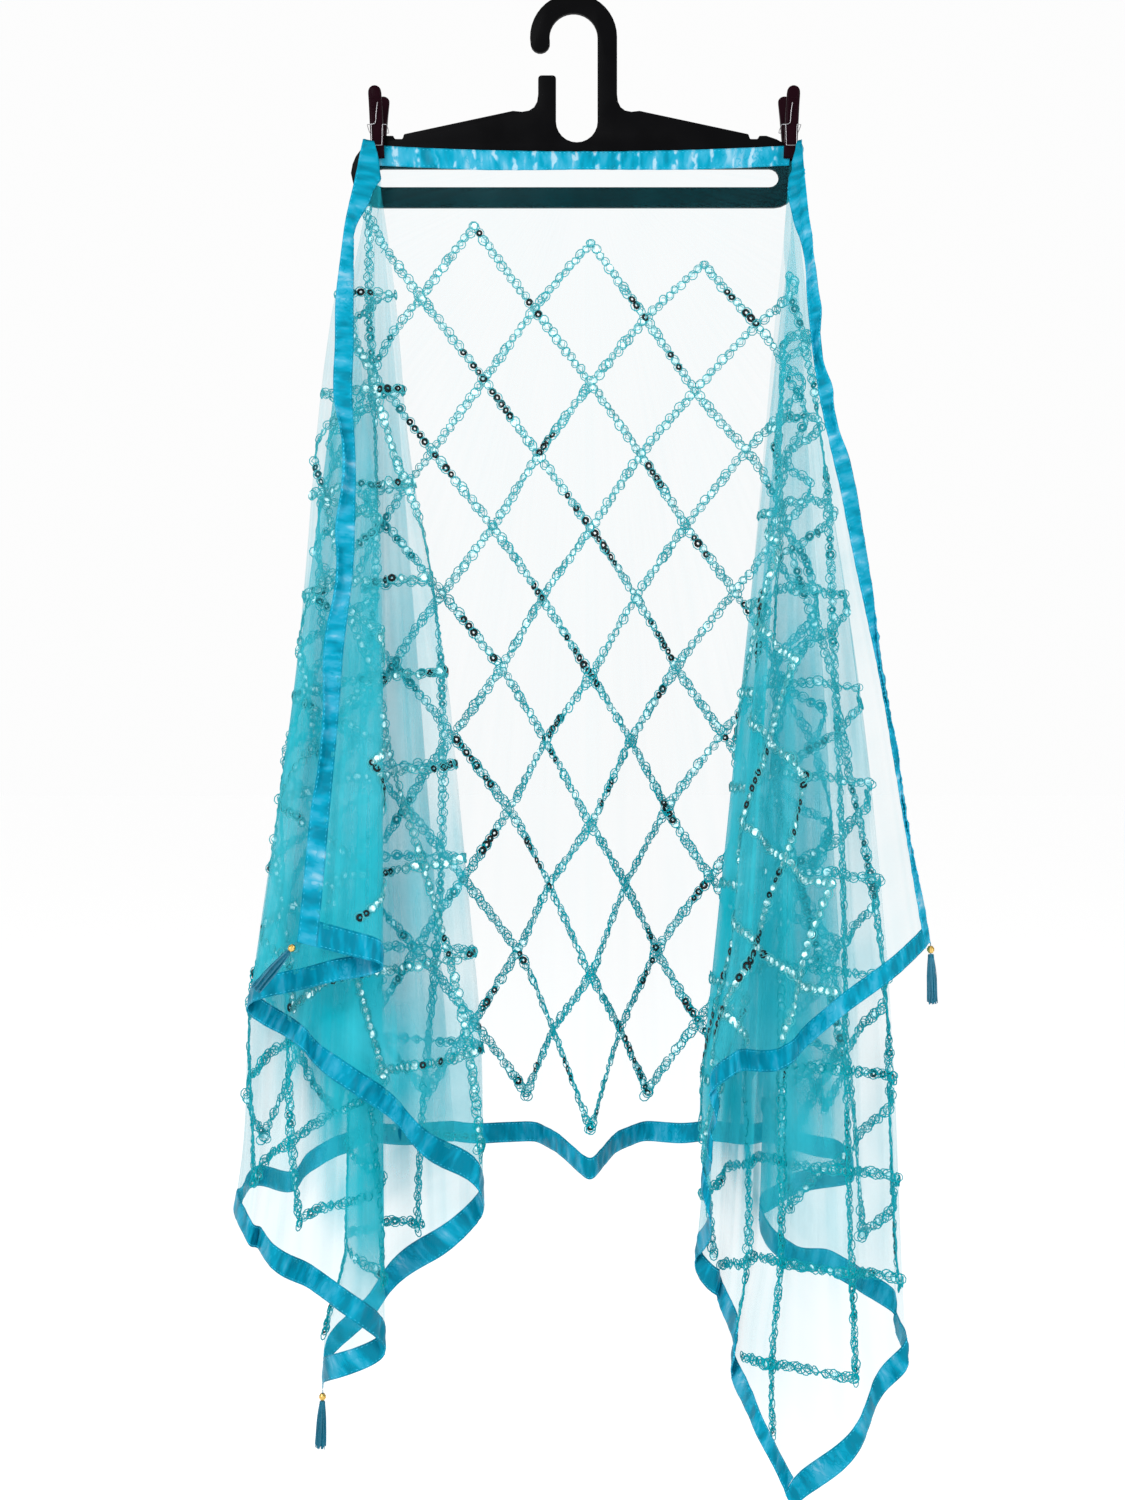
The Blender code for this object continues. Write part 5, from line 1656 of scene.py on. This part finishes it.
class STOLE_OT_stage(bpy.types.Operator):
    """Set the camera, the lights and the floor"""

    bl_idname = "stole.stage"
    bl_label = "Stage"

    def execute(self, context):
        settings = context.scene.stole_stage
        scene = context.scene
        camera = bpy.data.objects.new("camera", bpy.data.cameras.new("camera"))
        scene.collection.objects.link(camera)
        camera.data.lens = CAMERA_SENSOR / 2 / math.tan(math.radians(CAMERA_FIELD / 2))
        camera.location = CAMERA_PLACE
        camera.rotation_euler = (math.pi / 2, 0.0, 0.0)
        camera.data.clip_end = 60.0
        scene.camera = camera
        scene.view_settings.view_transform = "Standard"
        scene.cycles.transparent_max_bounces = CLEAR_LAYERS
        self.add_floor(settings)
        self.add_world(scene)
        self.add_light("key_light", (-1.6, -2.6, 1.0), 1.6, settings.key)
        self.add_light("fill_light", (2.2, -2.2, 0.0), 1.8, settings.fill)
        return {"FINISHED"}

    def add_floor(self, settings):
        level = START_BOX[0].z - settings.floor_drop
        turns = ((-1, -1), (1, -1), (1, 1), (-1, 1))
        corners = [(x * FLOOR_REACH, y * FLOOR_REACH, level) for x, y in turns]
        material = new_material(
            "pale_floor", (0.93, 0.93, 0.93), Roughness=0.9,
            Emission_Color=(1.0, 1.0, 1.0, 1.0), Emission_Strength=0.405,
        )[0]
        floor = link_object("floor", mesh_from("floor", corners, [(0, 1, 2, 3)]), material)
        floor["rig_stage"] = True

    def add_world(self, scene):
        """A pale surround that lights softly, a little brighter where the camera sees it."""
        world = bpy.data.worlds.new("surround")
        world.use_nodes = True
        scene.world = world
        tree = world.node_tree
        seen = new_node(tree, "ShaderNodeLightPath").outputs["Is Camera Ray"]
        strength = remapped(tree, seen, 0.0, 1.0, 0.62, 0.98)
        feed(tree.nodes["Background"], Color=(1.0, 1.0, 1.0, 1.0), Strength=strength)

    def add_light(self, name, place, size, power):
        light = bpy.data.lights.new(name, "AREA")
        light.shape = "DISK"
        light.size = size
        light.energy = power
        thing = bpy.data.objects.new(name, light)
        bpy.context.scene.collection.objects.link(thing)
        thing.location = place
        aim = Vector(LIGHT_AIM) - Vector(place)
        thing.rotation_euler = aim.to_track_quat("-Z", "Y").to_euler()


class STOLE_OT_hanger(bpy.types.Operator):
    """Build the hanger with rounded edges"""

    bl_idname = "stole.hanger"
    bl_label = "Hanger"

    def execute(self, context):
        settings = context.scene.stole_hanger
        plastic = plastic_material("hanger_moulding", tuple(settings.colour), 0.34, 900.0)
        thing = rounded_copy("hanger", "clip_hanger", settings.edge, plastic)
        finish_piece(thing, ["hanger"])
        return {"FINISHED"}


class STOLE_OT_pegs(bpy.types.Operator):
    """Build the two clothes pegs and their wire springs"""

    bl_idname = "stole.pegs"
    bl_label = "Pegs"

    def execute(self, context):
        settings = context.scene.stole_hanger
        plastic = plastic_material("peg_moulding", tuple(settings.peg_colour), 0.28, 1400.0)
        steel = metal_material("peg_steel", tuple(settings.wire_colour), 0.26)
        tubes = tube_tree()
        front_jaw = -LEFT_PEG.y + RIBBON_WALL / 2 + SEAM_GAP
        rear_jaw = HANGER_THICK / 2 + SEAM_GAP
        for word, peg, outward in (("left", LEFT_PEG, -1), ("right", RIGHT_PEG, 1)):
            place = (peg.x, 0.0, LEFT_PEG.z)
            for end, jaw, facing, lean in (
                ("front", front_jaw, -1, outward * PEG_LEAN_FRONT),
                ("rear", rear_jaw, 1, -outward * PEG_LEAN_REAR),
            ):
                half = add_peg_half(f"{word}_{end}_half", place, jaw, facing, lean, plastic)
                finish_piece(half, [f"{word}_peg_{end}"])
            spring = add_spring(f"{word}_wire_spring", place, tubes, steel)
            finish_piece(spring, [f"{word}_peg_spring"])
        return {"FINISHED"}


class STOLE_OT_ribbons(bpy.types.Operator):
    """Sew the satin ribbon round the stole"""

    bl_idname = "stole.ribbons"
    bl_label = "Ribbons"

    def execute(self, context):
        settings = context.scene.stole_ribbon
        satin = satin_material(settings)
        cotton = thread_material("stitch_thread", (0.05, 0.50, 0.70), (0.01, 0.30, 0.50), 0.6)
        surface = surfaces()
        tree = stitch_tree()
        for sheet, reach in REACHES.items():
            found = []
            for kind in BACK_RIBBONS if sheet == "back" else SIDE_RIBBONS:
                word = kind.replace("back_", "")
                places = band_places(kind, reach)
                name = f"{sheet}_{word}_satin"
                # Painted shade, deeper on the lower ribbons.
                deep = SATIN_SHADE_AND_BACK[kind]
                band = add_band(name, surface[sheet], FORWARD[sheet], places, deep, settings, satin)
                finish_piece(band, [f"{sheet}_{word}_ribbon"])
                found.append(stitch_points(surface[sheet], FORWARD[sheet], kind, reach, settings))
            place, facing, along = [np.concatenate(parts) for parts in zip(*found)]
            name = f"{sheet}_stitches"
            mesh = points_mesh(name, place, facing, along, np.ones(len(place)))
            stitches = grown(
                name, mesh, tree, Length=settings.stitch_length, Width=STITCH_WIDTH,
                Depth=settings.thickness + STITCH_DEPTH, Tilt=STITCH_TILT, Seed=5,
                Material=cotton,
            )
            finish_piece(stitches)
        return {"FINISHED"}


class STOLE_OT_lattice(bpy.types.Operator):
    """Embroider the lattice of thread loops and sequins"""

    bl_idname = "stole.lattice"
    bl_label = "Lattice"

    def execute(self, context):
        settings = context.scene.stole_lattice
        pale, deep = tuple(settings.pale), tuple(settings.deep)
        materials = {
            "thread": thread_material("lattice_silk", pale, deep, 0.45),
            "clear": sequin_material(
                "clear_sequin", (0.50, 0.86, 0.89), 0.35, 0.4, (0.05, 0.62), 0.55,
            ),
            # Dark sequins: their dark mirror reflection is painted into a near-black base colour.
            "mirror": sequin_material(
                "mirror_sequin", (0.002, 0.005, 0.006), 0.01, 0.2, (1.0, 1.0), 0.0,
            ),
        }
        trees = {"chain": chain_tree(), "clear": sequin_tree(), "mirror": holed_sequin_tree()}
        surface = surfaces()
        for sheet in SHEETS:
            thread, clear, mirror = add_lattice(sheet, surface[sheet], settings, trees, materials)
            finish_piece(thread)
            finish_piece(clear)
            finish_piece(mirror)
        return {"FINISHED"}


class STOLE_OT_tassels(bpy.types.Operator):
    """Hang a gold bead and a tassel from each corner"""

    bl_idname = "stole.tassels"
    bl_label = "Tassels"

    def execute(self, context):
        settings = context.scene.stole_tassel
        colour = tuple(settings.colour)
        silk = thread_material("tassel_silk", tinted(colour, 0.06), tinted(colour, -0.35), 0.4)
        gold = metal_material("bead_brass", tuple(settings.bead), 0.22)
        tree = tube_tree()
        random = np.random.default_rng(11)
        for side, word, upper_lean in zip(sides(), ("left", "right"), (40.0, -2.0)):
            for level, down, lean in (("upper", 0.0, upper_lean), ("lower", STOLE_WIDTH, 2.0)):
                top = side.point(side.reach, down)
                bead = add_bead(f"{word}_{level}_gold_bead", lean, top, gold)
                finish_piece(bead, [f"{word}_{level}_bead"])
                name = f"{word}_{level}_silk_tassel"
                tassel = add_tassel(name, lean, top, settings, random, tree, silk)
                finish_piece(tassel, [f"{word}_{level}_tassel"])
        return {"FINISHED"}


class STOLE_OT_organza(bpy.types.Operator):
    """Drape the organza between the pegs and beyond them"""

    bl_idname = "stole.organza"
    bl_label = "Organza"

    def execute(self, context):
        settings = context.scene.stole_organza
        organza = organza_material(settings)
        surface = surfaces()
        inner = RIBBON - LAP
        across = np.linspace(-HALF_SPAN, HALF_SPAN, BACK_COLUMNS)
        count = int(STOLE_WIDTH / settings.row_length * BACK_ROWS)
        down = np.linspace(inner, STOLE_WIDTH - inner, count)
        for sheet, reach in REACHES.items():
            if sheet == "back":
                nodes, pegs = ["back_panel"], ("left", "right")
                first, second = np.meshgrid(across, down)
            else:
                nodes = [f"{sheet}_stretch_{k + 1}" for k in range(STRETCHES[sheet])]
                pegs = (sheet,)
                first, second = side_places(reach, settings)
            opacity = pleating(PLEATED[sheet], first, second, settings)
            cloth = add_sheet(sheet, surface[sheet], first, second, opacity, organza)
            finish_piece(cloth, nodes)
            trim = [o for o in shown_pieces() if o.name.startswith(f"{sheet}_") and o is not cloth]
            trim = [o for o in trim if not o.name.endswith(("half", "spring"))]
        return {"FINISHED"}


OPERATORS = (
    STOLE_OT_stage,
    STOLE_OT_hanger,
    STOLE_OT_pegs,
    STOLE_OT_ribbons,
    STOLE_OT_lattice,
    STOLE_OT_tassels,
    STOLE_OT_organza,
)
SETTINGS = {
    "stole_stage": StageSettings,
    "stole_hanger": HangerSettings,
    "stole_organza": OrganzaSettings,
    "stole_ribbon": RibbonSettings,
    "stole_lattice": LatticeSettings,
    "stole_tassel": TasselSettings,
}


class STOLE_PT_panel(bpy.types.Panel):
    """Everything that builds the stole"""

    bl_label = "Dupatta Stole"
    bl_idname = "STOLE_PT_panel"
    bl_space_type = "VIEW_3D"
    bl_region_type = "UI"
    bl_category = "Stole"

    def draw(self, context):
        for operator in OPERATORS:
            self.layout.operator(operator.bl_idname)
        for name, group in SETTINGS.items():
            box = self.layout.box()
            for label in group.__annotations__:
                box.prop(getattr(context.scene, name), label)


def register():
    for group in SETTINGS.values():
        bpy.utils.register_class(group)
    for name, group in SETTINGS.items():
        setattr(bpy.types.Scene, name, PointerProperty(type=group))
    for operator in OPERATORS:
        bpy.utils.register_class(operator)
    bpy.utils.register_class(STOLE_PT_panel)


def unregister():
    bpy.utils.unregister_class(STOLE_PT_panel)
    for operator in reversed(OPERATORS):
        bpy.utils.unregister_class(operator)
    for name in SETTINGS:
        delattr(bpy.types.Scene, name)
    for group in SETTINGS.values():
        bpy.utils.unregister_class(group)


def main():
    register()
    bpy.ops.stole.stage()
    bpy.ops.stole.hanger()
    bpy.ops.stole.pegs()
    bpy.ops.stole.ribbons()
    bpy.ops.stole.lattice()
    bpy.ops.stole.tassels()
    bpy.ops.stole.organza()
    bpy.context.view_layer.update()


if __name__ == "__main__":
    main()
